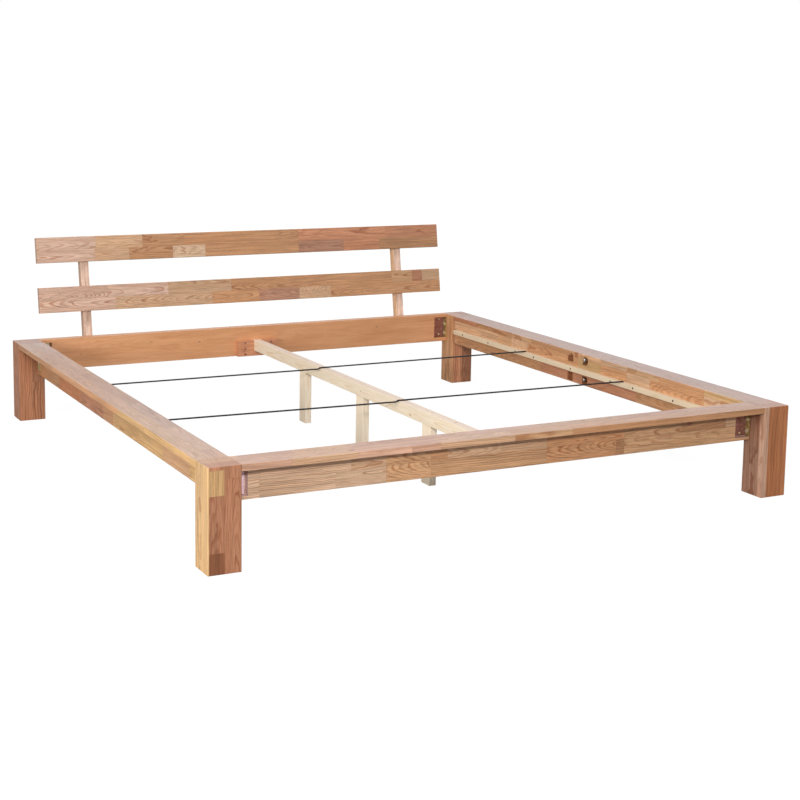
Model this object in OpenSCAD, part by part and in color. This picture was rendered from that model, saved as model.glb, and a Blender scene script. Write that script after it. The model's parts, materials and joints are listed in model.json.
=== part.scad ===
// Low wooden double bed: four block legs, three inverted-L rails, a plain head rail,
// a leaning two-plank headboard and a pine centre beam on its own legs.
// Lengths are millimetres. X runs across the bed, Y from foot to head, Z up.
// The origin is on the floor, at the middle of the whole bed seen from above.

/* [Mattress] */
// Width of the mattress
mattress_w = 1800; // [1200:10:2200]
// Length of the mattress
mattress_l = 2000; // [1600:10:2400]
// Gap between the mattress and each side rail
side_clear = 2.5; // [0:0.5:20]
// Gap between the mattress and each end rail
end_clear = 6.5; // [0:0.5:20]

/* [Legs] */
// Width of a corner leg, across the bed
leg_w = 98; // [78:1:125]
// Depth of a corner leg, along the bed
leg_d = 98; // [78:1:125]
// Height of the legs and of the rails' top faces
frame_h = 300; // [240:5:400]

/* [Rails] */
// Height of every rail, cap board included
rail_h = 120; // [110:1:150]
// Thickness of the side and foot rails' upright webs
rail_t = 28; // [26:1:36]
// Thickness of the leg-wide cap boards on the side and foot rails
cap_t = 20; // [16:1:20]
// Thickness of the head rail
head_t = 38; // [32:1:46]

/* [Corner joints] */
// Length of the pocket in each rail end
pocket_l = 45; // [40:1:60]
// Extra length of the pocket and bracket at the right end of the foot and head rails
pocket_extra = 15; // [0:1:20]
// Wood left behind a pocket in a web
pocket_wall = 8; // [6:0.5:8]
// Wood left under a pocket in a web
pocket_floor = 10; // [8:1:12]
// Extra height of the head rail's pockets above its underside
head_pocket_rise = 7; // [0:1:10]
// Gap above and below a bracket in its pocket
bracket_clear = 2; // [1:0.5:2]
// Length of a bracket's leaf on the rail
bracket_rail_leaf = 40; // [36:1:40]
// Width of a bracket's leaf on the leg
bracket_leg_leaf = 18; // [16:1:18]
// Sheet thickness of the brackets
bracket_t = 2.5; // [2:0.5:3]

/* [Splice] */
// Wood between the rail joint and each bolt pocket
splice_wall = 32; // [26:1:40]
// Length of a splice pocket along the rail
splice_pocket_l = 36; // [34:1:40]
// Height of a splice pocket
splice_pocket_h = 32; // [28:1:33]
// Depth of a splice pocket
splice_depth = 19; // [18:0.5:20]
// Height of the lower splice bolt above the rail's underside
splice_low = 20; // [18:1:21]
// Depth of the upper splice bolt below the rail's top
splice_high = 25; // [25:1:26]

/* [Slat support] */
// Depth of the slat bearing faces below the rails' top
bearing_drop = 56; // [50:1:56]
// Width of the ledger strips
ledger_w = 20; // [18:1:30]
// Height of the ledger strips
ledger_h = 18; // [16:1:20]
// Gap between a ledger strip and the leg
ledger_gap = 40; // [5:1:40]
// Number of screws in each of a ledger strip's three bays
ledger_screw_n = 3; // [2:1:4]
// Width of the centre beam
beam_w = 35; // [30:1:45]
// Height of the centre beam
beam_h = 42; // [36:1:50]
// Length of the cleats that carry the beam's ends
cleat_l = 176; // [150:1:220]
// Thickness of the cleats
cleat_t = 20; // [16:1:24]
// Width of a centre leg, across the bed
centre_leg_w = 25; // [20:1:30]
// Depth of a centre leg, along the bed
centre_leg_d = 57; // [48:1:70]

/* [Tie rods] */
// Diameter of the steel tie rods
rod_d = 5.5; // [4:0.5:10]
// Drop of a rod's crank beside the centre beam
rod_crank = 4.5; // [2:0.5:8]
// Depth of a rod's hook in the ledger strip
hook_depth = 12; // [8:0.5:14]

/* [Headboard] */
// Backward lean of the headboard, in degrees
lean = 9; // [0:0.5:14]
// Height of a headboard plank
plank_h = 100; // [80:1:120]
// Thickness of the planks
plank_t = 22; // [18:1:28]
// How far a plank's end stops short of the mattress's side
plank_short = 9; // [0:1:40]
// Gap between the two planks
plank_gap = 96; // [60:1:140]
// Distance up the upright from its bend to the lower plank
plank_rise = 154; // [70:1:220]
// Width of an upright
upright_w = 33; // [24:1:50]
// Depth of an upright
upright_d = 36; // [30:1:45]
// Distance from a plank's end to the upright
upright_inset = 177; // [60:1:260]
// Height of the uprights' plumb feet on the head rail's back
upright_foot = 60; // [46:1:80]

/* [Hidden] */
$fn = 32;

// Clearances
fit = 0.15;           // radial, round a screw, bolt or dowel
seat = 0.5;           // at the end of a blind hole and between butted ends

// Fastener sizes
bolt_d = 8;
bolt_head_af = 13;
bolt_head_h = 5;
bolt_l = 46;
insert_d = 12;
insert_l = 24;
nut_h = 6.5;
dowel_d = 8;
dowel_l = 30;
ledger_screw = [4, 8, 36];     // shank diameter, head diameter, length
cleat_screw = [4.5, 9, 42];
plank_screw = [4.5, 9, 50];
beam_screw = [5, 10, 85];
bracket_screw = [4, 8, 6];
upright_screw = [6, 12, 64];
half_moon = [24, 15, 3];       // height, depth, thickness

// Frame
inner_w = mattress_w + 2 * side_clear;
inner_l = mattress_l + 2 * end_clear;
frame_w = inner_w + 2 * leg_w;
frame_l = leg_d + inner_l + head_t;
rail_z = frame_h - rail_h;
cap_z = frame_h - cap_t;
web_h = rail_h - cap_t;
head_y = frame_l - head_t;
head_leg_y = frame_l - leg_d;
joint_y = frame_l / 2;
web_x = inner_w / 2 + rail_t;

// Corner pockets and brackets, in the frame of a rail end: X into the rail from its end,
// Y into the wood from the pocket's open face, Z up from the rail's underside
pocket_depth = rail_t - pocket_wall;
pocket_h = web_h - pocket_floor;
bracket_h = pocket_h - 2 * bracket_clear;
bolt_y = pocket_depth - bracket_t - 7.5;
bolt_low = 16;                 // bracket's end to its nearer bolt
bolt_high = 30;                // bracket's other end to its nearer bolt
rail_screw_x = 28;
rail_screw_edge = 9;
cap_dowel_in = 22;
cap_dowel_out = 8;

// Splice
splice_zs = [rail_z + splice_low, frame_h - splice_high];
splice_bolt_in = 10;           // depth of the bolt's axis from the web's inner face
splice_dowel_zs = [splice_zs[0] + 14, splice_zs[1] - 20];
splice_bolt_l = 2 * splice_wall + half_moon[2] + nut_h + 3;

// Slat support
bearing_z = frame_h - bearing_drop;
ledger_y0 = leg_d + ledger_gap;
ledger_y1 = head_leg_y - ledger_gap;
ledger_screw_end = 80;         // from the strip's end
ledger_screw_rod = 70;         // from a tie rod's hole
cleat_h = bearing_z - rail_z;
cleat_screw_x = 57;
cleat_screw_zs = [for (k = [0 : 2]) rail_z + 9 + k * (cleat_h - 18) / 2];
beam_z = bearing_z - beam_h;
beam_y0 = leg_d + seat;
beam_y1 = head_y - seat;
beam_mid_y = (beam_y0 + beam_y1) / 2;
centre_leg_pitch = inner_l / 4;
centre_leg_ys = [for (k = [-1 : 1]) beam_mid_y + k * centre_leg_pitch];
beam_screw_dy = 15;

// Tie rods, hooked into the ledger strips near the thirds of the bed's length
hook_x = inner_w / 2 - ledger_w / 2;
rod_z = bearing_z + rod_d / 2;
rod_hole_ys = [
    [leg_d + inner_l / 3 + 48, leg_d + inner_l / 3 - 8],
    [leg_d + inner_l * 2 / 3 - 12, leg_d + inner_l * 2 / 3 - 10],
];

// Headboard
upright_z = rail_z + 2;
bend_z = upright_z + upright_foot;
plank_l = mattress_w - 2 * plank_short;
upright_x = plank_l / 2 - upright_inset - upright_w / 2;
plank_s = [plank_rise, plank_rise + plank_h + plank_gap];
headboard_s = plank_s[1] + plank_h;
upright_s = headboard_s - 15;
plank_screw_ds = plank_h * 0.29;
upright_screw_zs = [upright_z + 12, bend_z - 14];

// Whole bed
back_y = frame_l + upright_s * sin(lean) + upright_d * cos(lean);

oak = "#b98259";
pine = "#e3d2b4";
zinc = "#b9ab6e";
black_steel = "#2b2b2b";

// ---- placing -------------------------------------------------------------------------

// Moves a piece from the foot end's zero to the bed's own origin
module place() {
    translate([0, -back_y / 2, 0]) children();
}

module box(from, to) {
    translate(from) cube(to - from);
}

// The eight rail ends: 0 and 1 foot rail, 2 to 5 side rails, 6 and 7 head rail
module at_rail_end(n) {
    side = n == 1 || n == 4 || n == 5 || n == 7 ? 1 : 0;
    mirror([side, 0, 0]) {
        if (n < 2)
            translate([-inner_w / 2, leg_d - rail_t, rail_z]) children();
        else if (n == 2 || n == 4)
            translate([-web_x, leg_d, rail_z]) mirror([1, -1, 0]) children();
        else if (n == 3 || n == 5)
            translate([-web_x, head_leg_y, rail_z]) rotate([0, 0, -90]) children();
        else
            translate([-inner_w / 2, head_y, rail_z]) children();
    }
}

// Height of the pocket's floor, and of the bracket in it, above the rail's underside
function pocket_z(n) = n < 6 ? pocket_floor : pocket_floor + head_pocket_rise;
function bracket_z(n) = pocket_z(n) + bracket_clear;

// How much longer than the others a pocket and its bracket are
function longer(n) = n == 1 || n == 7 ? pocket_extra : 0;

// The side rails' brackets are the end rails' turned over, so that their bolts miss
// each other inside a foot leg
function bolt_zs(n) = n < 2 || n > 5
    ? [bracket_z(n) + bolt_low, bracket_z(n) + bracket_h - bolt_high]
    : [bracket_z(n) + bolt_high, bracket_z(n) + bracket_h - bolt_low];

// One upright's frame: Z up its leaning front face from the bend, Y into the wood
module at_upright(side) {
    translate([side * upright_x, frame_l, bend_z]) rotate([-lean, 0, 0]) children();
}

// The splice of one side rail: X into the web from its inner face, Y towards the head
module at_splice(side) {
    mirror([side < 0 ? 1 : 0, 0, 0]) translate([inner_w / 2, joint_y, 0]) children();
}

// ---- fasteners -----------------------------------------------------------------------

// Countersunk wood screw along +Z, its head's face at z = 0
module screw(size, grow = 0) {
    r = size[0] / 2 + grow;
    head = size[1] / 2 + grow;
    translate([0, 0, -grow]) cylinder(h = size[1] / 2 - size[0] / 2 + grow, r1 = head, r2 = r);
    translate([0, 0, -grow]) cylinder(h = size[2] + 2 * grow, r = r);
}

module pan_screw(size) {
    cylinder(h = size[2], d = size[0]);
    translate([0, 0, -2]) cylinder(h = 2, d = size[1]);
}

module hex(af, h) {
    cylinder(h = h, r = af / 2 / cos(30), $fn = 6);
}

// ---- drilling patterns, shared by the holes and by what fills them ----------------------

// Along the bolts of a rail end, +Z pointing into the leg from the bracket's face
module corner_bolt_axes(n) {
    for (z = bolt_zs(n))
        translate([bracket_t + seat / 2, bolt_y, z]) rotate([0, -90, 0]) children();
}

// Middle of each dowel of a rail end, +Z along the dowel: two in a cap board, one in the
// head rail under its pocket
module corner_dowel_axes(n) {
    if (n < 6) {
        overhang = (n < 2 ? leg_d : leg_w) - rail_t;
        for (y = [cap_dowel_in - overhang, -cap_dowel_out])
            translate([0, y, rail_h - cap_t / 2]) rotate([0, 90, 0]) children();
    } else {
        translate([0, head_t / 2, pocket_z(n) / 2]) rotate([0, 90, 0]) children();
    }
}

module bracket_screw_axes(n) {
    for (z = [bracket_z(n) + rail_screw_edge, bracket_z(n) + bracket_h - rail_screw_edge])
        translate([rail_screw_x, pocket_depth - bracket_t - seat / 2, z])
            rotate([-90, 0, 0]) children();
}

// A ledger strip's bays, between its ends and the tie rods' holes
function ledger_bays(side) =
    let (ys = [for (hole = rod_hole_ys) side < 0 ? hole[0] : hole[1]]) [
        [ledger_y0 + ledger_screw_end, ys[0] - ledger_screw_rod],
        [ys[0] + ledger_screw_rod, ys[1] - ledger_screw_rod],
        [ys[1] + ledger_screw_rod, ledger_y1 - ledger_screw_end],
    ];

module ledger_screw_axes(side) {
    for (bay = ledger_bays(side), k = [0 : ledger_screw_n - 1]) {
        y = bay[0] + k * (bay[1] - bay[0]) / (ledger_screw_n - 1);
        translate([side * (inner_w / 2 - ledger_w), y, bearing_z - ledger_h / 2])
            rotate([0, side * 90, 0]) children();
    }
}

module cleat_screw_axes() {
    for (x = [-cleat_screw_x, cleat_screw_x], z = cleat_screw_zs) {
        translate([x, leg_d + cleat_t, z]) rotate([90, 0, 0]) children();
        translate([x, head_y - cleat_t, z]) rotate([-90, 0, 0]) children();
    }
}

// +Z points from the upright's back face towards the plank
module plank_screw_axes(side, plank) {
    for (k = [-1, 1])
        at_upright(side)
            translate([0, upright_d, plank_s[plank] + plank_h / 2 + k * plank_screw_ds])
                rotate([90, 0, 0]) children();
}

// +Z points from the upright's back face into the head rail
module upright_screw_axes(side) {
    for (z = upright_screw_zs)
        translate([side * upright_x, frame_l + upright_d, z]) rotate([90, 0, 0]) children();
}

module beam_screw_axes(k) {
    for (dy = [-beam_screw_dy, beam_screw_dy])
        translate([0, centre_leg_ys[k] + dy, bearing_z]) rotate([180, 0, 0]) children();
}

// ---- holes -----------------------------------------------------------------------------

// Everything drilled into a leg and a rail's end for one rail-end joint
module corner_holes(n) {
    at_rail_end(n) {
        corner_bolt_axes(n) translate([0, 0, bracket_t]) {
            cylinder(h = bolt_l + seat, d = bolt_d + 2 * fit);
            cylinder(h = insert_l + seat, d = insert_d + 2 * fit);
        }
        corner_dowel_axes(n)
            cylinder(h = dowel_l + 2 * seat, d = dowel_d + 2 * fit, center = true);
        bracket_screw_axes(n)
            cylinder(h = bracket_screw[2] + seat, d = bracket_screw[0] + 2 * fit);
    }
}

// In a web the pocket runs up to the cap board, in the head rail it stays closed above
module corner_pocket(n) {
    top = n < 6 ? pocket_z(n) + pocket_h + 1 : pocket_z(n) + pocket_h;
    at_rail_end(n)
        box([-1, -1, pocket_z(n)], [pocket_l + longer(n), pocket_depth, top]);
}

// The two bolt pockets, bolt holes and dowel holes of one side rail's splice
module splice_holes(side) {
    at_splice(side) {
        for (z = splice_zs) {
            box([-1, splice_wall, z - splice_pocket_h / 2],
                [splice_depth, splice_wall + splice_pocket_l, z + splice_pocket_h / 2]);
            half_moon_pocket(z);
            translate([splice_bolt_in, 0, z]) rotate([90, 0, 0])
                cylinder(h = 2 * splice_wall + 2, d = bolt_d + 2 * fit, center = true);
        }
        for (z = splice_dowel_zs)
            translate([rail_t / 2, 0, z]) rotate([90, 0, 0])
                cylinder(h = dowel_l + 2 * seat, d = dowel_d + 2 * fit, center = true);
    }
}

// Flat towards the joint, round at the far end
module half_moon_pocket(z) {
    r = splice_pocket_h / 2;
    straight = splice_pocket_l - r;
    box([-1, -splice_wall - straight, z - r], [splice_depth, -splice_wall, z + r]);
    translate([-1, -splice_wall - straight, z]) rotate([0, 90, 0])
        cylinder(h = splice_depth + 1, r = r);
}

// ---- legs ------------------------------------------------------------------------------

module leg(x_side, head, ends) {
    y0 = head ? head_leg_y : 0;
    x0 = x_side < 0 ? -frame_w / 2 : inner_w / 2;
    color(oak) place() difference() {
        box([x0, y0, 0], [x0 + leg_w, y0 + leg_d, frame_h]);
        for (n = ends) corner_holes(n);
    }
}

module leg_foot_left() { leg(-1, false, [0, 2]); }
module leg_foot_right() { leg(1, false, [1, 4]); }
module leg_head_left() { leg(-1, true, [3, 6]); }
module leg_head_right() { leg(1, true, [5, 7]); }

// ---- rails -----------------------------------------------------------------------------

function end_of(side, head) = side < 0 ? (head ? 3 : 2) : (head ? 5 : 4);

// Half of a side rail's web: foot half from the foot leg, head half to the head leg
module side_web(side, head) {
    x0 = side < 0 ? -web_x : inner_w / 2;
    y0 = head ? joint_y : leg_d;
    y1 = head ? head_leg_y : joint_y;
    color(oak) place() difference() {
        box([x0, y0, rail_z], [x0 + rail_t, y1, cap_z]);
        corner_pocket(end_of(side, head));
        corner_holes(end_of(side, head));
        splice_holes(side);
        ledger_screw_axes(side) screw(ledger_screw, fit);
    }
}

module side_cap(side, head) {
    x0 = side < 0 ? -frame_w / 2 : inner_w / 2;
    y0 = head ? joint_y : leg_d;
    y1 = head ? head_leg_y : joint_y;
    color(oak) place() difference() {
        box([x0, y0, cap_z], [x0 + leg_w, y1, frame_h]);
        corner_holes(end_of(side, head));
        splice_holes(side);
    }
}

module rail_left_foot_web() { side_web(-1, false); }
module rail_left_foot_cap() { side_cap(-1, false); }
module rail_left_head_web() { side_web(-1, true); }
module rail_left_head_cap() { side_cap(-1, true); }
module rail_right_foot_web() { side_web(1, false); }
module rail_right_foot_cap() { side_cap(1, false); }
module rail_right_head_web() { side_web(1, true); }
module rail_right_head_cap() { side_cap(1, true); }

module rail_foot_web() {
    color(oak) place() difference() {
        box([-inner_w / 2, leg_d - rail_t, rail_z], [inner_w / 2, leg_d, cap_z]);
        for (n = [0, 1]) {
            corner_pocket(n);
            corner_holes(n);
        }
        cleat_screw_axes() screw(cleat_screw, fit);
    }
}

module rail_foot_cap() {
    color(oak) place() difference() {
        box([-inner_w / 2, 0, cap_z], [inner_w / 2, leg_d, frame_h]);
        for (n = [0, 1]) corner_holes(n);
    }
}

module rail_head() {
    color(oak) place() difference() {
        box([-inner_w / 2, head_y, rail_z], [inner_w / 2, frame_l, frame_h]);
        for (n = [6, 7]) {
            corner_pocket(n);
            corner_holes(n);
        }
        cleat_screw_axes() screw(cleat_screw, fit);
        for (side = [-1, 1]) upright_screw_axes(side) screw(upright_screw, fit);
    }
}

// ---- headboard ---------------------------------------------------------------------------

module plank(k) {
    color(oak) place() difference() {
        at_upright(0) translate([-plank_l / 2, -plank_t, plank_s[k]])
            cube([plank_l, plank_t, plank_h]);
        for (side = [-1, 1]) plank_screw_axes(side, k) screw(plank_screw, fit);
    }
}

module headboard_plank_lower() { plank(0); }
module headboard_plank_upper() { plank(1); }

// Side view of an upright: Y backwards from the head rail's back face, Z up
module upright_outline() {
    dy = sin(lean);
    dz = cos(lean);
    polygon([
        [0, upright_z], [0, bend_z],
        [upright_s * dy, bend_z + upright_s * dz],
        [upright_s * dy + upright_d * dz, bend_z + upright_s * dz - upright_d * dy],
        [upright_d, bend_z - upright_d * tan(lean / 2)], [upright_d, upright_z],
    ]);
}

module upright(side) {
    color(oak) place() difference() {
        translate([side * upright_x - upright_w / 2, frame_l, 0])
            rotate([90, 0, 90]) linear_extrude(upright_w) upright_outline();
        for (k = [0, 1]) plank_screw_axes(side, k) screw(plank_screw, fit);
        upright_screw_axes(side) screw(upright_screw, fit);
    }
}

module headboard_upright_left() { upright(-1); }
module headboard_upright_right() { upright(1); }

// ---- centre beam and its supports -----------------------------------------------------------

module centre_beam() {
    color(pine) place() difference() {
        box([-beam_w / 2, beam_y0, beam_z], [beam_w / 2, beam_y1, bearing_z]);
        for (k = [0 : 2]) beam_screw_axes(k) screw(beam_screw, fit);
    }
}

module centre_leg(k) {
    color(pine) place() difference() {
        translate([-centre_leg_w / 2, centre_leg_ys[k] - centre_leg_d / 2, 0])
            cube([centre_leg_w, centre_leg_d, beam_z]);
        beam_screw_axes(k) screw(beam_screw, fit);
    }
}

module centre_leg_foot() { centre_leg(0); }
module centre_leg_middle() { centre_leg(1); }
module centre_leg_head() { centre_leg(2); }

// Oak block with a notch for the beam's end
module cleat(head) {
    y0 = head ? head_y - cleat_t : leg_d;
    color(oak) place() difference() {
        box([-cleat_l / 2, y0, rail_z], [cleat_l / 2, y0 + cleat_t, bearing_z]);
        box([-beam_w / 2 - fit, y0 - 1, beam_z], [beam_w / 2 + fit, y0 + cleat_t + 1, bearing_z + 1]);
        cleat_screw_axes() screw(cleat_screw, fit);
    }
}

module cleat_foot() { cleat(false); }
module cleat_head() { cleat(true); }

// ---- ledger strips and tie rods --------------------------------------------------------------

module ledger(side) {
    x0 = side < 0 ? -inner_w / 2 : inner_w / 2 - ledger_w;
    color(pine) place() difference() {
        box([x0, ledger_y0, bearing_z - ledger_h], [x0 + ledger_w, ledger_y1, bearing_z]);
        ledger_screw_axes(side) screw(ledger_screw, fit);
        for (ys = rod_hole_ys)
            translate([side * hook_x, side < 0 ? ys[0] : ys[1], bearing_z - hook_depth - seat])
                cylinder(h = hook_depth + seat + 1, d = rod_d + 2 * fit);
    }
}

module ledger_left() { ledger(-1); }
module ledger_right() { ledger(1); }

function bend_angle(a, b, c) = acos((b - a) * (c - b) / norm(b - a) / norm(c - b));

// Round bar from point to point; each straight runs past a bend by enough to close it
module bar(points) {
    last = len(points) - 1;
    past = [for (i = [0 : last]) i == 0 || i == last
        ? 0
        : rod_d / 2 * tan(bend_angle(points[i - 1], points[i], points[i + 1]) / 2) + 0.2];
    for (i = [0 : last - 1]) {
        run = points[i + 1] - points[i];
        translate(points[i])
            rotate([0, acos(run.z / norm(run)), atan2(run.y, run.x)])
                translate([0, 0, -past[i]])
                    cylinder(h = norm(run) + past[i] + past[i + 1], d = rod_d);
    }
}

// The rod rests on both ledger strips and on the beam, and is cranked down beside the beam
module tie_rod(k) {
    left = [-hook_x, rod_hole_ys[k][0]];
    right = [hook_x, rod_hole_ys[k][1]];
    slope = (right.y - left.y) / (right.x - left.x);
    sag_x = -beam_w / 2 - 2 * rod_d;
    // [position across the bed, height] of each bend
    path = [
        [left.x, bearing_z - hook_depth],
        [left.x, rod_z + rod_crank * ledger_w / inner_w],
        [sag_x, rod_z - rod_crank],
        [sag_x + 1.25 * rod_d, rod_z],
        [right.x, rod_z],
        [right.x, bearing_z - hook_depth],
    ];
    color(black_steel) place()
        bar([for (p = path) [p.x, left.y + (p.x - left.x) * slope, p.y]]);
}

module tie_rod_foot() { tie_rod(0); }
module tie_rod_head() { tie_rod(1); }

// ---- hardware -----------------------------------------------------------------------------

module corner_brackets() {
    color(zinc) place() for (n = [0 : 7]) at_rail_end(n) difference() {
        translate([seat / 2, 0, bracket_z(n)]) {
            box([0, pocket_depth - bracket_t, 0],
                [bracket_rail_leaf + longer(n), pocket_depth, bracket_h]);
            box([0, pocket_depth - bracket_leg_leaf, 0], [bracket_t, pocket_depth, bracket_h]);
        }
        corner_bolt_axes(n) cylinder(h = 4 * bracket_t, d = bolt_d + 2 * fit, center = true);
        bracket_screw_axes(n)
            cylinder(h = 4 * bracket_t, d = bracket_screw[0] + 2 * fit, center = true);
    }
}

module corner_bolts() {
    color(zinc) place() for (n = [0 : 7]) at_rail_end(n) corner_bolt_axes(n) {
        cylinder(h = bolt_l, d = bolt_d);
        translate([0, 0, -bolt_head_h]) hex(bolt_head_af, bolt_head_h);
    }
}

module corner_inserts() {
    color(zinc) place() for (n = [0 : 7]) at_rail_end(n) corner_bolt_axes(n)
        translate([0, 0, bracket_t + seat]) difference() {
            cylinder(h = insert_l, d = insert_d);
            translate([0, 0, -1]) cylinder(h = insert_l + 2, d = bolt_d + 2 * fit);
        }
}

module corner_dowels() {
    color(pine) place() for (n = [0 : 7]) at_rail_end(n) corner_dowel_axes(n)
        cylinder(h = dowel_l, d = dowel_d, center = true);
}

module bracket_screws() {
    color(zinc) place() for (n = [0 : 7]) at_rail_end(n) bracket_screw_axes(n)
        pan_screw(bracket_screw);
}

module splice_bolts() {
    color(zinc) place() for (side = [-1, 1]) at_splice(side) for (z = splice_zs)
        translate([splice_bolt_in, splice_wall, z]) rotate([90, 0, 0]) {
            cylinder(h = splice_bolt_l, d = bolt_d);
            translate([0, 0, -bolt_head_h]) hex(bolt_head_af, bolt_head_h);
        }
}

// Washer plates that spread each nut's load over the flat of its pocket
module splice_half_moons() {
    color(zinc) place() for (side = [-1, 1]) at_splice(side) for (z = splice_zs)
        translate([splice_bolt_in, -splice_wall, z]) rotate([90, 0, 0]) difference() {
            translate([-half_moon[1] / 2, -half_moon[0] / 2, 0])
                cube([half_moon[1], half_moon[0], half_moon[2]]);
            translate([0, 0, -1]) cylinder(h = half_moon[2] + 2, d = bolt_d + 2 * fit);
        }
}

module splice_nuts() {
    color(zinc) place() for (side = [-1, 1]) at_splice(side) for (z = splice_zs)
        translate([splice_bolt_in, -splice_wall - half_moon[2], z]) rotate([90, 0, 0])
            difference() {
                hex(bolt_head_af, nut_h);
                translate([0, 0, -1]) cylinder(h = nut_h + 2, d = bolt_d + 2 * fit);
            }
}

module splice_dowels() {
    color(pine) place() for (side = [-1, 1]) at_splice(side) for (z = splice_dowel_zs)
        translate([rail_t / 2, 0, z]) rotate([90, 0, 0])
            cylinder(h = dowel_l, d = dowel_d, center = true);
}

module ledger_screws() {
    color(zinc) place() for (side = [-1, 1]) ledger_screw_axes(side) screw(ledger_screw);
}

module cleat_screws() {
    color(zinc) place() cleat_screw_axes() screw(cleat_screw);
}

module plank_screws() {
    color(zinc) place() for (side = [-1, 1], k = [0, 1]) plank_screw_axes(side, k)
        screw(plank_screw);
}

module upright_screws() {
    color(zinc) place() for (side = [-1, 1]) upright_screw_axes(side) screw(upright_screw);
}

module beam_screws() {
    color(zinc) place() for (k = [0 : 2]) beam_screw_axes(k) screw(beam_screw);
}

// ---- output ---------------------------------------------------------------------------------

leg_foot_left();
leg_foot_right();
leg_head_left();
leg_head_right();
rail_left_foot_web();
rail_left_foot_cap();
rail_left_head_web();
rail_left_head_cap();
rail_right_foot_web();
rail_right_foot_cap();
rail_right_head_web();
rail_right_head_cap();
rail_foot_web();
rail_foot_cap();
rail_head();
headboard_plank_lower();
headboard_plank_upper();
headboard_upright_left();
headboard_upright_right();
centre_beam();
centre_leg_foot();
centre_leg_middle();
centre_leg_head();
cleat_foot();
cleat_head();
ledger_left();
ledger_right();
tie_rod_foot();
tie_rod_head();
corner_brackets();
corner_bolts();
corner_inserts();
corner_dowels();
bracket_screws();
splice_bolts();
splice_half_moons();
splice_nuts();
splice_dowels();
ledger_screws();
cleat_screws();
plank_screws();
upright_screws();
beam_screws();
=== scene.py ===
"""Low wooden bed frame: oak boards glued from staves, pine inside, zinc and black steel hardware.

The sizes in the classes and tables are in millimetres and MM turns them into the scene's metres,
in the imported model's axes: X to the right, Y towards the headboard, Z up. Every wooden board is
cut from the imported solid, its corners eased, and its faces split where the glued staves meet, so
that each stave carries its own tone and its own run of growth rings.
"""
from __future__ import annotations

import json
import logging
import math
import random
from dataclasses import dataclass
from enum import Enum
from typing import NamedTuple

import bmesh
import bpy
import numpy as np
from bmesh.types import BMEdge, BMesh
from bpy.types import Material, Mesh, MeshPolygon, Node, NodeSocket, NodeTree, Object
from mathutils import Matrix, Vector

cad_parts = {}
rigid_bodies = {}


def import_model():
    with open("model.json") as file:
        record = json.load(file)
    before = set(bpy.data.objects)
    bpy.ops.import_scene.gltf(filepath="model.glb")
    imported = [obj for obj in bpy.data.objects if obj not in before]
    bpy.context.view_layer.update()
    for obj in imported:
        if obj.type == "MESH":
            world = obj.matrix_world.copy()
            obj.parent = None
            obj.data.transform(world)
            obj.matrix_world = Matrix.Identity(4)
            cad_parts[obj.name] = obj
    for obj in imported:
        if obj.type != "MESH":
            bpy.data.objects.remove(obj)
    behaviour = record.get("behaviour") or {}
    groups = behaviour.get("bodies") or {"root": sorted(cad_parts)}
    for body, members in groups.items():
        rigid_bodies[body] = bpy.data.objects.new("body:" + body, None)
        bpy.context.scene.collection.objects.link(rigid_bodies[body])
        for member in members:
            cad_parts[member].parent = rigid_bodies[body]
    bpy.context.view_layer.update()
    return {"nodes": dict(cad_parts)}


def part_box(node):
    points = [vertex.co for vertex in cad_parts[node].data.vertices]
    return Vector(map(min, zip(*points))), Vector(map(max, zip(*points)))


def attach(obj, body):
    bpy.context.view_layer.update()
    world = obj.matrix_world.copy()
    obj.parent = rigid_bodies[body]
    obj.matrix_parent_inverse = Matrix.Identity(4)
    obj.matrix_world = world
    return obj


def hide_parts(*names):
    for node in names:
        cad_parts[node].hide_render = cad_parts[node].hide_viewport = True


for leftover in list(bpy.data.objects):
    bpy.data.objects.remove(leftover)
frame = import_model()

log = logging.getLogger("bed_frame")
MM = 0.001
X, Y, Z = 0, 1, 2
WHITE = (1.0, 1.0, 1.0, 1.0)
WELD = 2e-6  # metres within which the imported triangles' corners are one corner
GRID = 1e5  # cells per metre, each of which holds at most one corner of a solid
TOUCH = 1e-7  # metres within which a corner lies on a plane
FAR = 1.0  # a distance from a glue joint at which none of it shows

Colour = tuple[float, float, float]
Feeds = dict[int | str, object]


# ---- small tools --------------------------------------------------------------------------------

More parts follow.
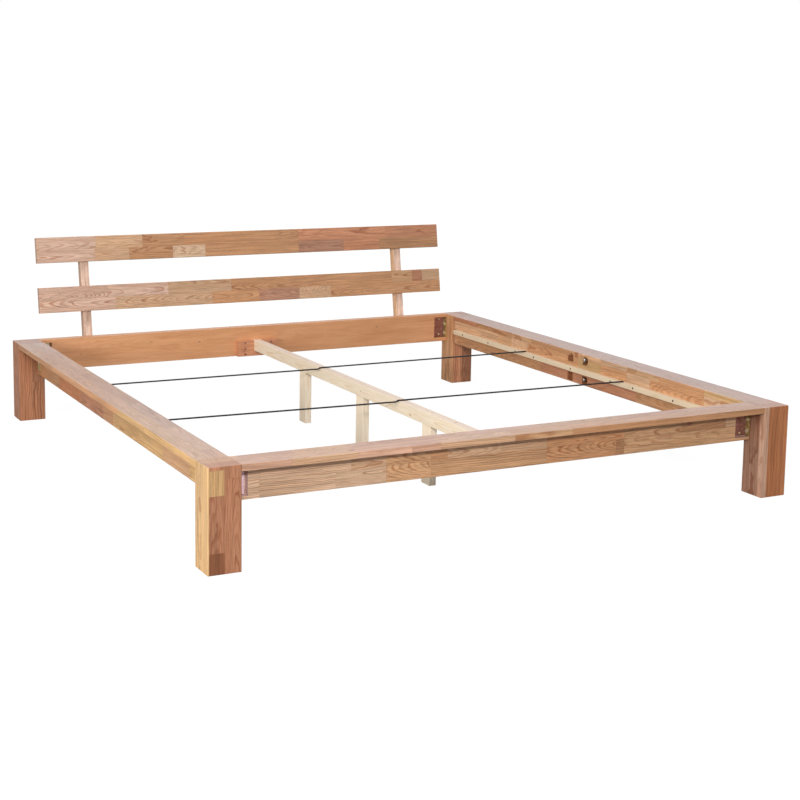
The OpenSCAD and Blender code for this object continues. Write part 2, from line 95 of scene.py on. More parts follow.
class Wiring:
    """Adds nodes to one node tree and joins their sockets."""

    def __init__(self, tree: NodeTree) -> None:
        """Keeps the tree that the nodes go into."""
        self.tree = tree

    def feed(self, socket: NodeSocket, value: object) -> None:
        """Joins a socket to another, or sets its own value.

        Args:
            socket: the input socket.
            value: an output socket, or a plain value.
        """
        if isinstance(value, NodeSocket):
            self.tree.links.new(value, socket)
        else:
            socket.default_value = value

    def fill(self, node: Node, feeds: Feeds) -> None:
        """Feeds several inputs of a node, each given by its number or name."""
        for key, value in feeds.items():
            self.feed(node.inputs[key], value)

    def node(self, kind: str, feeds: Feeds | None = None, **settings: object) -> Node:
        """Adds one node.

        Args:
            kind: the node's type name.
            feeds: the value or source of each input, by its number or name.
            settings: properties set on the node itself.

        Returns:
            The new node.
        """
        made = self.tree.nodes.new(kind)
        for key, value in settings.items():
            setattr(made, key, value)
        self.fill(made, feeds or {})
        return made

    def math(self, operation: str, *values: object, clamp: bool = False) -> NodeSocket:
        """Adds a Math node.

        Args:
            operation: the operation's name.
            values: its inputs in order.
            clamp: whether the result is kept between 0 and 1.

        Returns:
            The result's socket.
        """
        return self.node("ShaderNodeMath", dict(enumerate(values)), operation=operation,
                         use_clamp=clamp).outputs[0]

    def times(self, first: object, second: object) -> NodeSocket:
        """Multiplies two numbers."""
        return self.math("MULTIPLY", first, second)

    def rest(self, value: object) -> NodeSocket:
        """Takes a number from 1."""
        return self.math("SUBTRACT", 1.0, value)

    def centred(self, value: object) -> NodeSocket:
        """Shifts a noise between 0 and 1 so that it swings about 0."""
        return self.math("SUBTRACT", value, 0.5)

    def spread(self, value: object, middle: float, width: float) -> NodeSocket:
        """Turns a value between 0 and 1 into a number that swings about a middle."""
        return self.math("MULTIPLY_ADD", value, width, middle - width / 2)

    def vector(self, operation: str, *values: object) -> NodeSocket:
        """Adds a Vector Math node.

        Args:
            operation: the operation's name.
            values: its vector inputs in order.

        Returns:
            The result's socket, a number for LENGTH and otherwise a vector.
        """
        made = self.node("ShaderNodeVectorMath", dict(enumerate(values)), operation=operation)
        return made.outputs["Value" if operation == "LENGTH" else "Vector"]

    def xyz(self, **parts: object) -> NodeSocket:
        """Joins X, Y and Z into a vector, with 0 for what is left out."""
        return self.node("ShaderNodeCombineXYZ", parts).outputs[0]

    def rgb(self, *parts: object) -> NodeSocket:
        """Joins red, green and blue into a colour."""
        return self.node("ShaderNodeCombineColor", dict(enumerate(parts))).outputs[0]

    def mix(self, amount: object, under: object, over: object, blend: str = "MIX") -> NodeSocket:
        """Adds a colour Mix node.

        Args:
            amount: how much of the upper colour shows.
            under: the lower colour.
            over: the upper colour.
            blend: the blend mode.

        Returns:
            The mixed colour's socket.
        """
        return self.node("ShaderNodeMix", {0: amount, 6: under, 7: over}, data_type="RGBA",
                         blend_type=blend).outputs[2]

    def stain(self, amount: object, under: NodeSocket, tint: Colour) -> NodeSocket:
        """Mixes in the colour multiplied by a tint."""
        return self.mix(amount, under, self.mix(1.0, under, (*tint, 1.0), "MULTIPLY"))

    def noise(self, place: object, scale: float, detail: float = 2.0,
              roughness: float = 0.5) -> NodeSocket:
        """Adds a noise texture.

        Args:
            place: the vector it is read at.
            scale: its scale.
            detail: its octaves.
            roughness: how strongly the finer octaves show.

        Returns:
            The noise value's socket.
        """
        return self.node("ShaderNodeTexNoise", {"Vector": place, "Scale": scale, "Detail": detail,
                                                "Roughness": roughness}).outputs[0]

    def smooth(self, value: object, low: float, high: float) -> NodeSocket:
        """Adds a smooth step.

        Args:
            value: what is stepped.
            low: where the step starts, at 0.
            high: where the step ends, at 1.

        Returns:
            The step's socket.
        """
        return self.node("ShaderNodeMapRange", {"Value": value, "From Min": low, "From Max": high},
                         interpolation_type="SMOOTHSTEP").outputs["Result"]

    def attribute(self, name: str) -> Node:
        """Adds a node that reads a mesh attribute by its name."""
        return self.node("ShaderNodeAttribute", attribute_name=name)

    def place(self) -> NodeSocket:
        """Adds the place in the object's own coordinates."""
        return self.node("ShaderNodeTexCoord").outputs["Object"]

    def bump(self, height: NodeSocket, strength: float, distance: float) -> NodeSocket:
        """Turns a height, in parts of a distance in metres, into a normal."""
        return self.node("ShaderNodeBump", {"Strength": strength, "Distance": distance,
                                            "Height": height}).outputs[0]

    def group(self, tree: NodeTree, **values: object) -> bpy.types.bpy_prop_collection:
        """Places a shader node group and returns its output sockets."""
        return self.node("ShaderNodeGroup", values, node_tree=tree).outputs


def open_group(name: str, kind: str, takes: dict[str, tuple[str, object]],
               gives: dict[str, str]) -> tuple[NodeTree, Wiring, object, Node]:
    """Starts a node group with named sockets.

    Args:
        name: the group's name.
        kind: ShaderNodeTree or GeometryNodeTree.
        takes: each input's kind of socket and default value, None for no default.
        gives: each output's kind of socket.

    Returns:
        The tree, its wiring, the group's input sockets and its output node.
    """
    tree = bpy.data.node_groups.new(name, kind)
    for label, (socket, value) in takes.items():
        made = tree.interface.new_socket(name=label, in_out="INPUT",
                                         socket_type="NodeSocket" + socket)
        if value is not None:
            made.default_value = value
    for label, socket in gives.items():
        tree.interface.new_socket(name=label, in_out="OUTPUT", socket_type="NodeSocket" + socket)
    wiring = Wiring(tree)
    return tree, wiring, wiring.node("NodeGroupInput").outputs, wiring.node("NodeGroupOutput")


def new_material(name: str) -> tuple[Material, Wiring, Node]:
    """Starts a node material.

    Args:
        name: the material's name.

    Returns:
        The material, the wiring of its tree and its Principled BSDF.
    """
    made = bpy.data.materials.new(name)
    made.use_nodes = True
    return made, Wiring(made.node_tree), made.node_tree.nodes["Principled BSDF"]


def unit(axis: int) -> Vector:
    """Returns the unit vector along an axis."""
    return Vector([float(i == axis) for i in range(3)])


def main_axis(direction: Vector) -> int:
    """Returns the axis that a direction follows most."""
    return max(range(3), key=lambda i: abs(direction[i]))


def link_object(name: str, data: bpy.types.ID | None) -> Object:
    """Puts an object with the given data in the scene, at the origin.

    Args:
        name: the object's name.
        data: its mesh, lamp or camera.

    Returns:
        The object.
    """
    made = bpy.data.objects.new(name, data)
    bpy.context.scene.collection.objects.link(made)
    return made


def mesh_from(work: BMesh, name: str) -> Mesh:
    """Writes an edited mesh into a new one and frees it.

    Args:
        work: the edited mesh.
        name: the new mesh's name.

    Returns:
        The new mesh.
    """
    mesh = bpy.data.meshes.new(name)
    work.to_mesh(mesh)
    work.free()
    return mesh


def plain_mesh(thing: Object) -> None:
    """Turns an object's modifiers into its own mesh.

    Args:
        thing: the object, whose modifiers are removed.
    """
    graph = bpy.context.evaluated_depsgraph_get()
    result = bpy.data.meshes.new_from_object(thing.evaluated_get(graph), depsgraph=graph)
    thing.modifiers.clear()
    thing.data = result


def cut_with(piece: Object, tool: Object, operation: str) -> None:
    """Joins a piece and a scratch object in an exact boolean, and removes the scratch object.

    Args:
        piece: the piece.
        tool: the scratch object.
        operation: INTERSECT or DIFFERENCE.
    """
    modifier = piece.modifiers.new("cut", "BOOLEAN")
    modifier.operation, modifier.object, modifier.solver = operation, tool, "EXACT"
    plain_mesh(piece)
    bpy.data.objects.remove(tool)


def ease_edges(work: BMesh, edges: list[BMEdge], offset: float, segments: int) -> None:
    """Rounds edges by an offset in mm."""
    bmesh.ops.bevel(work, geom=edges, offset=offset * MM, segments=segments, profile=0.5,
                    affect="EDGES", clamp_overlap=True)


def prism(first: list[Vector], second: list[Vector]) -> BMesh:
    """Builds a closed block between two matching outlines.

    Args:
        first: the corners of one end.
        second: the corners of the other end, in the same order.

    Returns:
        The block, its faces outwards.
    """
    work = bmesh.new()
    near, far = ([work.verts.new(point) for point in outline] for outline in (first, second))
    work.faces.new(near[::-1])
    work.faces.new(far)
    for i in range(len(near)):
        j = (i + 1) % len(near)
        work.faces.new((near[i], near[j], far[j], far[i]))
    bmesh.ops.recalc_face_normals(work, faces=work.faces)
    return work


def merged_copy(node: str) -> Object:
    """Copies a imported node's solid with its loose triangles joined.

    Args:
        node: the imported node's name.

    Returns:
        A closed scratch object that the caller removes.
    """
    work = bmesh.new()
    work.from_mesh(frame["nodes"][node].data)
    bmesh.ops.remove_doubles(work, verts=work.verts, dist=WELD)
    mesh = mesh_from(work, node + "_copy")
    mesh.materials.clear()
    return link_object(node + "_copy", mesh)


def solids(node: str) -> list[np.ndarray]:
    """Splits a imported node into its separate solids.

    Args:
        node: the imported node's name.

    Returns:
        The corner points of each solid, as one array for each.
    """
    mesh = frame["nodes"][node].data
    numbers: dict[tuple[int, ...], int] = {}
    corner = [numbers.setdefault(tuple(round(c * GRID) for c in v.co), len(numbers))
              for v in mesh.vertices]
    parent = list(range(len(numbers)))

    def root(index: int) -> int:
        """Finds the group that a corner belongs to.

        Args:
            index: the corner's number.

        Returns:
            The number of the group's first corner.
        """
        while parent[index] != index:
            parent[index] = parent[parent[index]]
            index = parent[index]
        return index

    for face in mesh.polygons:
        first = root(corner[face.vertices[0]])
        for other in face.vertices[1:]:
            parent[root(corner[other])] = first
    groups: dict[int, list[Vector]] = {}
    for vertex, index in zip(mesh.vertices, corner):
        groups.setdefault(root(index), []).append(vertex.co)
    return [np.array(points) for points in groups.values()]


def solid_boxes(node: str) -> list[tuple[Vector, Vector]]:
    """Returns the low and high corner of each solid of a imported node."""
    return [(Vector(points.min(axis=0)), Vector(points.max(axis=0))) for points in solids(node)]


# ---- tones and figure ---------------------------------------------------------------------------

class Tone(Enum):
    """Base colour of a stave."""

    BLOND = (0.720, 0.500, 0.330)
    AMBER = (0.690, 0.430, 0.185)
    SAND = (0.620, 0.395, 0.235)
    HONEY = (0.600, 0.355, 0.186)
    ROSE = (0.590, 0.355, 0.240)
    COPPER = (0.530, 0.280, 0.135)
    OLIVE = (0.510, 0.325, 0.150)
    RUSSET = (0.470, 0.215, 0.114)
    BRICK = (0.480, 0.188, 0.073)
    MAUVE = (0.440, 0.230, 0.145)
    BLUSH = (0.690, 0.470, 0.350)
    SHELL = (0.770, 0.595, 0.560)
    WHEAT = (0.715, 0.465, 0.220)
    UMBER = (0.270, 0.105, 0.045)
    ALDER = (0.655, 0.322, 0.152)
    # DUSK and FAWN are the pale tones of the painted sheen on faces that look up; DUSK also tones
    # some cap staves.
    DUSK = (0.490, 0.345, 0.295)
    FAWN = (0.500, 0.345, 0.270)
    STRAW = (0.730, 0.590, 0.415)
    CREAM = (0.860, 0.750, 0.590)


class Figure(Enum):
    """How a stave was sawn: the pull of its rings, then their slant along the board."""

    STRAIGHT = (0.0, 0.4)
    FLAMED = (1.0, 1.6)
    CATHEDRAL = (1.0, 5.0)
    CURLED = (1.0, 2.6)


(BLOND, AMBER, SAND, HONEY, ROSE, COPPER, OLIVE, RUSSET, BRICK, MAUVE, BLUSH, SHELL, WHEAT, UMBER,
 ALDER, DUSK, FAWN, STRAW, CREAM) = Tone
STRAIGHT, FLAMED, CATHEDRAL, CURLED = Figure


@dataclass(frozen=True)
class Stave:
    """One glued block: where it ends along the run in mm, its tone, shade, figure and contrast."""

    end: float
    tone: Tone
    shade: float = 1.0
    figure: Figure = Figure.STRAIGHT
    contrast: float = 1.0


@dataclass(frozen=True)
class Row:
    """A line of staves end to end, between two fractions of each cross direction."""

    first: tuple[float, float]
    second: tuple[float, float]
    staves: tuple[Stave, ...]


def row(first: tuple[float, float], second: tuple[float, float], *parts: tuple) -> Row:
    """Makes a row from the fractions it fills and a short tuple for each stave."""
    return Row(first, second, tuple(Stave(*part) for part in parts))


ALL, LOW, HIGH = (0, 1), (0, 0.5), (0.5, 1)


# ---- finishes -----------------------------------------------------------------------------------

@dataclass(frozen=True)
class Streaks:
    """A noise drawn out along the fibre: repeats per metre along and across, and its detail."""

    along: float
    across: float
    detail: float = 1.0
    roughness: float = 0.5

    def read(self, w: Wiring, grain: NodeSocket) -> NodeSocket:
        """Reads the noise at a place in the tree."""
        place = w.vector("MULTIPLY", grain, (self.along, self.across, self.across))
        return w.noise(place, 1.0, self.detail, self.roughness)


SLOW_SWAY = Streaks(3.2, 16.0, roughness=0.45)
QUICK_SWAY = Streaks(24.0, 60.0)
FINE_FIBRE = Streaks(9.0, 420.0, 3.0, 0.6)
BROAD_FIBRE = Streaks(5.0, 150.0, 2.0)
PORE_DASHES = Streaks(60.0, 1500.0)
BLOTCHES = Streaks(4.0, 22.0, 2.0)

# where a ring darkens, turns pale again and has pores, as parts of its width
DARKENING, PALING, EARLY_WOOD = (0.34, 0.84), (0.92, 1.0), (0.05, 0.45)
# the brightness of the noise between which fibre and pores fade in
FIBRE_EDGE, PORE_EDGE = (0.34, 0.66), (0.56, 0.66)
WEAKEST_RING, RING_VARIETY = 0.25, 0.85
# a knot's oval, its edges as parts of its radius, and how ragged its outline is, in metres
KNOT_OVAL, KNOT_CORE, KNOT_HALO = (0.62, 0.62, 1.0), (0.35, 1.0), (0.8, 3.0)
KNOT_RAGGED, KNOT_NOISE_SCALE = 0.006, 160.0


def build_ring_group() -> NodeTree:
    """Builds the shader group that draws growth rings, fibre, pores and slow blotches.

    Returns:
        The group. Its grain input is in metres from the heart of the tree, X along the fibre.
    """
    tree, w, take, give = open_group(
        "growth_rings", "ShaderNodeTree",
        {"Grain": ("Vector", None), "Spacing": ("Float", 0.0034), "Wander": ("Float", 0.009),
         "Ripple": ("Float", 0.35)},
        dict.fromkeys(("Late", "Fibre", "Pore", "Blotch"), "Float"))
    grain = take["Grain"]
    ripple = w.times(w.centred(QUICK_SWAY.read(w, grain)), take["Ripple"])
    sway = w.math("ADD", w.centred(SLOW_SWAY.read(w, grain)), ripple)
    split = w.node("ShaderNodeSeparateXYZ", {0: grain}).outputs
    reach = w.vector("LENGTH", w.xyz(Y=split["Y"], Z=split["Z"]))
    ring = w.math("DIVIDE", w.math("ADD", reach, w.times(sway, take["Wander"])), take["Spacing"])
    part = w.math("FRACT", ring)
    chance = w.node("ShaderNodeTexWhiteNoise", {"W": w.math("FLOOR", ring)},
                    noise_dimensions="1D").outputs[0]
    strength = w.math("MULTIPLY_ADD", chance, RING_VARIETY, WEAKEST_RING)
    band = w.times(w.smooth(part, *DARKENING), w.rest(w.smooth(part, *PALING)))
    streak = w.math("ADD", w.times(FINE_FIBRE.read(w, grain), 0.5),
                    w.times(BROAD_FIBRE.read(w, grain), 0.5))
    early = w.rest(w.smooth(part, *EARLY_WOOD))
    w.fill(give, {
        "Late": w.times(band, strength),
        "Fibre": w.smooth(streak, *FIBRE_EDGE),
        "Pore": w.times(w.smooth(PORE_DASHES.read(w, grain), *PORE_EDGE), early),
        "Blotch": BLOTCHES.read(w, grain)})
    return tree


def build_joint_group() -> NodeTree:
    """Builds the shader group that draws the thin glue line where two staves meet.

    Returns:
        The group, which reads the distances to the six joints round a stave.
    """
    tree, w, take, give = open_group(
        "glue_joint", "ShaderNodeTree",
        {"Low": ("Vector", None), "High": ("Vector", None), "Width": ("Float", 0.0006)},
        {"Line": "Float"})
    nearest = w.vector("MINIMUM", take["Low"], take["High"])
    x, y, z = w.node("ShaderNodeSeparateXYZ", {0: nearest}).outputs
    distance = w.math("MINIMUM", w.math("MINIMUM", x, y), z)
    w.fill(give, {"Line": w.rest(w.math("DIVIDE", distance, take["Width"], clamp=True))})
    return tree


def build_knot_group() -> NodeTree:
    """Builds the shader group that draws one knot and the swirl of grain round it.

    Returns:
        The group, which takes the knot's centre and radius in the board's own place.
    """
    tree, w, take, give = open_group(
        "knot", "ShaderNodeTree",
        {"Place": ("Vector", None), "Centre": ("Vector", None), "Radius": ("Float", 0.006)},
        {"Core": "Float", "Halo": "Float"})
    offset = w.vector("SUBTRACT", take["Place"], take["Centre"])
    oval = w.vector("MULTIPLY", offset, KNOT_OVAL)
    ragged = w.times(w.centred(w.noise(offset, KNOT_NOISE_SCALE)), KNOT_RAGGED)
    away = w.math("DIVIDE", w.math("ADD", w.vector("LENGTH", oval), ragged), take["Radius"])
    w.fill(give, {"Core": w.rest(w.smooth(away, *KNOT_CORE)),
                  "Halo": w.rest(w.smooth(away, *KNOT_HALO))})
    return tree


RINGS = build_ring_group()
JOINTS = build_joint_group()
KNOT = build_knot_group()


class Knot(NamedTuple):
    """A knot's centre in mm in the bed's axes, and its radius in mm."""

    x: float
    y: float
    z: float
    radius: float


@dataclass(frozen=True)
class WoodFinish:
    """Oiled or raw wood whose tone and grain come with the board's mesh."""

    name: str
    spacing: float = 3.4
    wander: float = 14.0
    ripple: float = 0.30
    late_tint: Colour = (0.66, 0.50, 0.42)
    late_strength: float = 0.95
    fibre_strength: float = 0.22
    pore_tint: Colour = (0.45, 0.36, 0.30)
    pore_strength: float = 0.45
    joint_tint: Colour = (0.40, 0.30, 0.24)
    joint_strength: float = 0.45
    blotch_strength: float = 0.16
    blotch_red: float = 0.7
    blotch_blue: float = 1.5
    roughness: float = 0.42
    fibre_dulling: float = 0.10
    pore_dulling: float = 0.2
    coat: float = 0.25
    coat_roughness: float = 0.3
    bump: float = 0.25
    relief: float = 0.4
    fibre_height: float = 0.5
    pore_depth: float = 0.8
    knots: tuple[Knot, ...] = ()
    knot_tint: Colour = (0.32, 0.16, 0.08)
    knot_strength: float = 0.85
    knot_swirl: float = 22.0

    def colour(self, w: Wiring, tone: Node, ring: object, joint: NodeSocket) -> NodeSocket:
        """Builds the wood's colour, all but its knots.

        Args:
            w: the material's wiring.
            tone: the attribute of the stave's tone, with its contrast as alpha.
            ring: the growth rings' masks.
            joint: the glue line's mask.

        Returns:
            The colour's socket.
        """
        late = w.math("MULTIPLY", w.times(ring["Late"], tone.outputs["Alpha"]),
                      self.late_strength, clamp=True)
        colour = w.stain(late, tone.outputs["Color"], self.late_tint)
        cloud = w.spread(ring["Blotch"], 1.0, 2 * self.blotch_strength)
        warm = w.rgb(w.math("POWER", cloud, self.blotch_red), cloud,
                     w.math("POWER", cloud, self.blotch_blue))
        streak = w.spread(ring["Fibre"], 1.0, 2 * self.fibre_strength)
        for light in (warm, w.rgb(streak, streak, streak)):
            colour = w.mix(1.0, colour, light, "MULTIPLY")
        colour = w.stain(w.times(ring["Pore"], self.pore_strength), colour, self.pore_tint)
        return w.stain(w.times(joint, self.joint_strength), colour, self.joint_tint)

    def material(self) -> Material:
        """Builds the material.

        Returns:
            The node material.
        """
        made, w, shader = new_material(self.name)
        grain = w.attribute("grain").outputs["Vector"]
        place = w.place()
        marks = [w.group(KNOT, Place=place, Radius=knot.radius * MM,
                         Centre=(knot.x * MM, knot.y * MM, knot.z * MM)) for knot in self.knots]
        if marks:
            halo = marks[0]["Halo"]
            for mark in marks[1:]:
                halo = w.math("MAXIMUM", halo, mark["Halo"])
            push = w.xyz(Z=w.times(halo, self.knot_swirl * MM))
            grain = w.vector("ADD", grain, push)
        ring = w.group(RINGS, Grain=grain, Spacing=self.spacing * MM, Wander=self.wander * MM,
                       Ripple=self.ripple)
        joint = w.group(JOINTS, Low=w.attribute("joint_low").outputs["Vector"],
                        High=w.attribute("joint_high").outputs["Vector"])["Line"]
        colour = self.colour(w, w.attribute("tone"), ring, joint)
        for mark in marks:
            colour = w.mix(w.times(mark["Core"], self.knot_strength), colour,
                           (*self.knot_tint, 1.0))
        dull = w.spread(ring["Fibre"], self.roughness, self.fibre_dulling)
        height = w.math("SUBTRACT", w.times(ring["Fibre"], self.fibre_height),
                        w.math("ADD", w.times(ring["Pore"], self.pore_depth), joint))
        w.fill(shader, {
            "Base Color": colour,
            "Roughness": w.math("ADD", dull, w.times(ring["Pore"], self.pore_dulling)),
            "Coat Weight": self.coat, "Coat Roughness": self.coat_roughness,
            "Normal": w.bump(height, self.bump, self.relief * MM)})
        return made


@dataclass(frozen=True)
class MetalFinish:
    """Plated or blackened steel with the slow colour drift of its coating."""

    name: str
    base: Colour
    drift_a: Colour
    drift_b: Colour
    drift: float = 0.5
    scale: float = 60.0
    roughness: float = 0.32
    metallic: float = 1.0
    dulling: float = 0.16
    bump: float = 0.15
    relief: float = 0.2
    edge_a: tuple[float, float] = (0.42, 0.62)
    edge_b: tuple[float, float] = (0.45, 0.65)
    shift_b: tuple[float, float, float] = (0.37, 0.11, 0.23)
    coarser_b: float = 0.8
    finer: float = 22

    def material(self) -> Material:
        """Builds the material.

        Returns:
            The node material.
        """
        made, w, shader = new_material(self.name)
        place = w.place()
        elsewhere = w.vector("ADD", place, self.shift_b)
        colour = (*self.base, 1.0)
        for cloud, edge, tint in (
                (w.noise(place, self.scale), self.edge_a, self.drift_a),
                (w.noise(elsewhere, self.scale * self.coarser_b), self.edge_b, self.drift_b)):
            amount = w.times(w.smooth(cloud, *edge), self.drift)
            colour = w.mix(amount, colour, (*tint, 1.0))
        fine = w.noise(place, self.scale * self.finer, detail=3.0, roughness=0.6)
        w.fill(shader, {
            "Base Color": colour, "Metallic": self.metallic,
            "Roughness": w.spread(fine, self.roughness, self.dulling),
            "Normal": w.bump(fine, self.bump, self.relief * MM)})
        return made


@dataclass(frozen=True)
class DowelFinish:
    """Plain beech, with pale rings that run the same way through every dowel."""

    name: str
    base: Colour = (0.62, 0.44, 0.28)
    late_tint: Colour = (0.75, 0.68, 0.6)
    spacing: float = 2.0
    heart: tuple[float, float, float] = (0.0, 0.3, 0.2)
    late_strength: float = 0.5
    roughness: float = 0.6
    dulling: float = 0.2

    def material(self) -> Material:
        """Builds the material.

        Returns:
            The node material.
        """
        made, w, shader = new_material(self.name)
        ring = w.group(RINGS, Grain=w.vector("ADD", w.place(), self.heart),
                       Spacing=self.spacing * MM)
        late = tuple(value * tint for value, tint in zip(self.base, self.late_tint))
        w.fill(shader, {
            "Base Color": w.mix(w.times(ring["Late"], self.late_strength),
                                (*self.base, 1.0), (*late, 1.0)),
            "Roughness": w.spread(ring["Fibre"], self.roughness, self.dulling)})
        return made


HEAD_RAIL_FACE, BEAM_SIDE = 984.8, -17.5
HEAD_RAIL_KNOTS = tuple(Knot(x, HEAD_RAIL_FACE, z, radius) for x, z, radius in (
    (-742, 232, 3), (-455, 262, 3), (-250, 250, 5), (-60, 206, 3), (60, 226, 3), (560, 262, 4)))
BEAM_KNOTS = (Knot(BEAM_SIDE, 420, 215, 5), Knot(BEAM_SIDE, -40, 222, 4),
              Knot(BEAM_SIDE, -420, 214, 6), Knot(0, 120, 244, 4), Knot(0, 640, 244, 4),
              Knot(0, -700, 244, 5))
OAK = WoodFinish("oiled_oak")
KNOTTY_BOARD = WoodFinish("knotty_board", spacing=5.5, wander=26.0, late_strength=0.28,
                          pore_strength=0.1, fibre_strength=0.08, blotch_strength=0.3,
                          knots=HEAD_RAIL_KNOTS, roughness=0.46)
PINE = WoodFinish("raw_pine", spacing=4.6, wander=7.0, late_tint=(0.86, 0.74, 0.58),
                  late_strength=0.55, fibre_strength=0.06, pore_strength=0.0,
                  blotch_strength=0.05, roughness=0.6, coat=0.0, bump=0.12, knots=BEAM_KNOTS,
                  knot_tint=(0.55, 0.33, 0.17))
ZINC = MetalFinish("yellow_zinc", (0.82, 0.74, 0.40), (0.82, 0.58, 0.54), (0.68, 0.70, 0.42),
                   metallic=0.6)
# Pink chromate, its base lifted near white as painted light on the plate that sits in the
# foot-left pocket's shade.
PINK_ZINC_AND_PAINTED_LIGHT = MetalFinish("pink_zinc_and_painted_light", (0.98, 0.74, 0.84), (1.0, 0.90, 0.95), (0.86, 0.60, 0.76),
                        roughness=0.6, metallic=0.1)
# Dark red zinc: on the right corner plates' rail leaves its red is a painted reflection of the
# wood round them; the cleat screws share it.
RED_ZINC_AND_PAINTED_REFLECTION = MetalFinish("red_zinc_and_painted_reflection", (0.42, 0.20, 0.16), (0.56, 0.30, 0.30), (0.26, 0.13, 0.10),
                       scale=110.0, roughness=0.4, metallic=0.7)
OLIVE_ZINC = MetalFinish("olive_zinc", (0.55, 0.46, 0.16), (0.24, 0.17, 0.08),
                         (0.80, 0.72, 0.32), drift=0.9, scale=120.0, metallic=0.7)
SILVER = MetalFinish("bright_zinc", (0.82, 0.80, 0.74), (0.70, 0.66, 0.56), (0.86, 0.86, 0.84))
BRONZE = MetalFinish("dark_bronze", (0.16, 0.09, 0.05), (0.24, 0.14, 0.08), (0.08, 0.05, 0.03),
                     metallic=0.7)
BLACK_STEEL = MetalFinish("black_steel", (0.012, 0.012, 0.013), (0.020, 0.020, 0.022),
                          (0.020, 0.020, 0.022), roughness=0.55, metallic=0.2)
BEECH = DowelFinish("beech_dowel")


class Finishes:
    """Builds each finish's material once and hands it out by name."""

    def __init__(self) -> None:
        """Starts with no materials."""
        self.made: dict[str, Material] = {}

    def get(self, finish: WoodFinish | MetalFinish | DowelFinish) -> Material:
        """Hands out a finish's material, and builds it the first time.

        Args:
            finish: the finish.

        Returns:
            Its material.
        """
        if finish.name not in self.made:
            self.made[finish.name] = finish.material()
        return self.made[finish.name]


FINISHES = Finishes()


def present(piece: Object, slot: str, *nodes: str) -> None:
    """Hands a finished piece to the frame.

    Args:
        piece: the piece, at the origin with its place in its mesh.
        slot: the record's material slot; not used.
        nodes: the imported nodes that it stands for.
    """
    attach(piece, "root")
    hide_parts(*nodes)
    log.info("%s: %d faces in place of %s", piece.name, len(piece.data.polygons),
             ", ".join(nodes))


# ---- boards -------------------------------------------------------------------------------------

# How the staves sat in their trees, each drawn from a range.
SLANT_SPREAD = (0.7, 1.3)
HEART_DEPTH_MM = (18, 55)
HEART_DRIFT_MM = (-16, 16)
PLACE_ALONG_TREE = (0, 40)
BOLD_RINGS, PLAIN_RINGS = (1.1, 1.9), (0.5, 0.8)
PLAIN_DISTANCE = 2.2
DRAW_STEP = 7919


class Span(NamedTuple):
    """A stave's reach along one axis in metres, and whether each end is a glue joint."""

    low: float
    high: float
    low_glued: bool
    high_glued: bool


Placed = tuple[Stave, list[Span], Matrix]


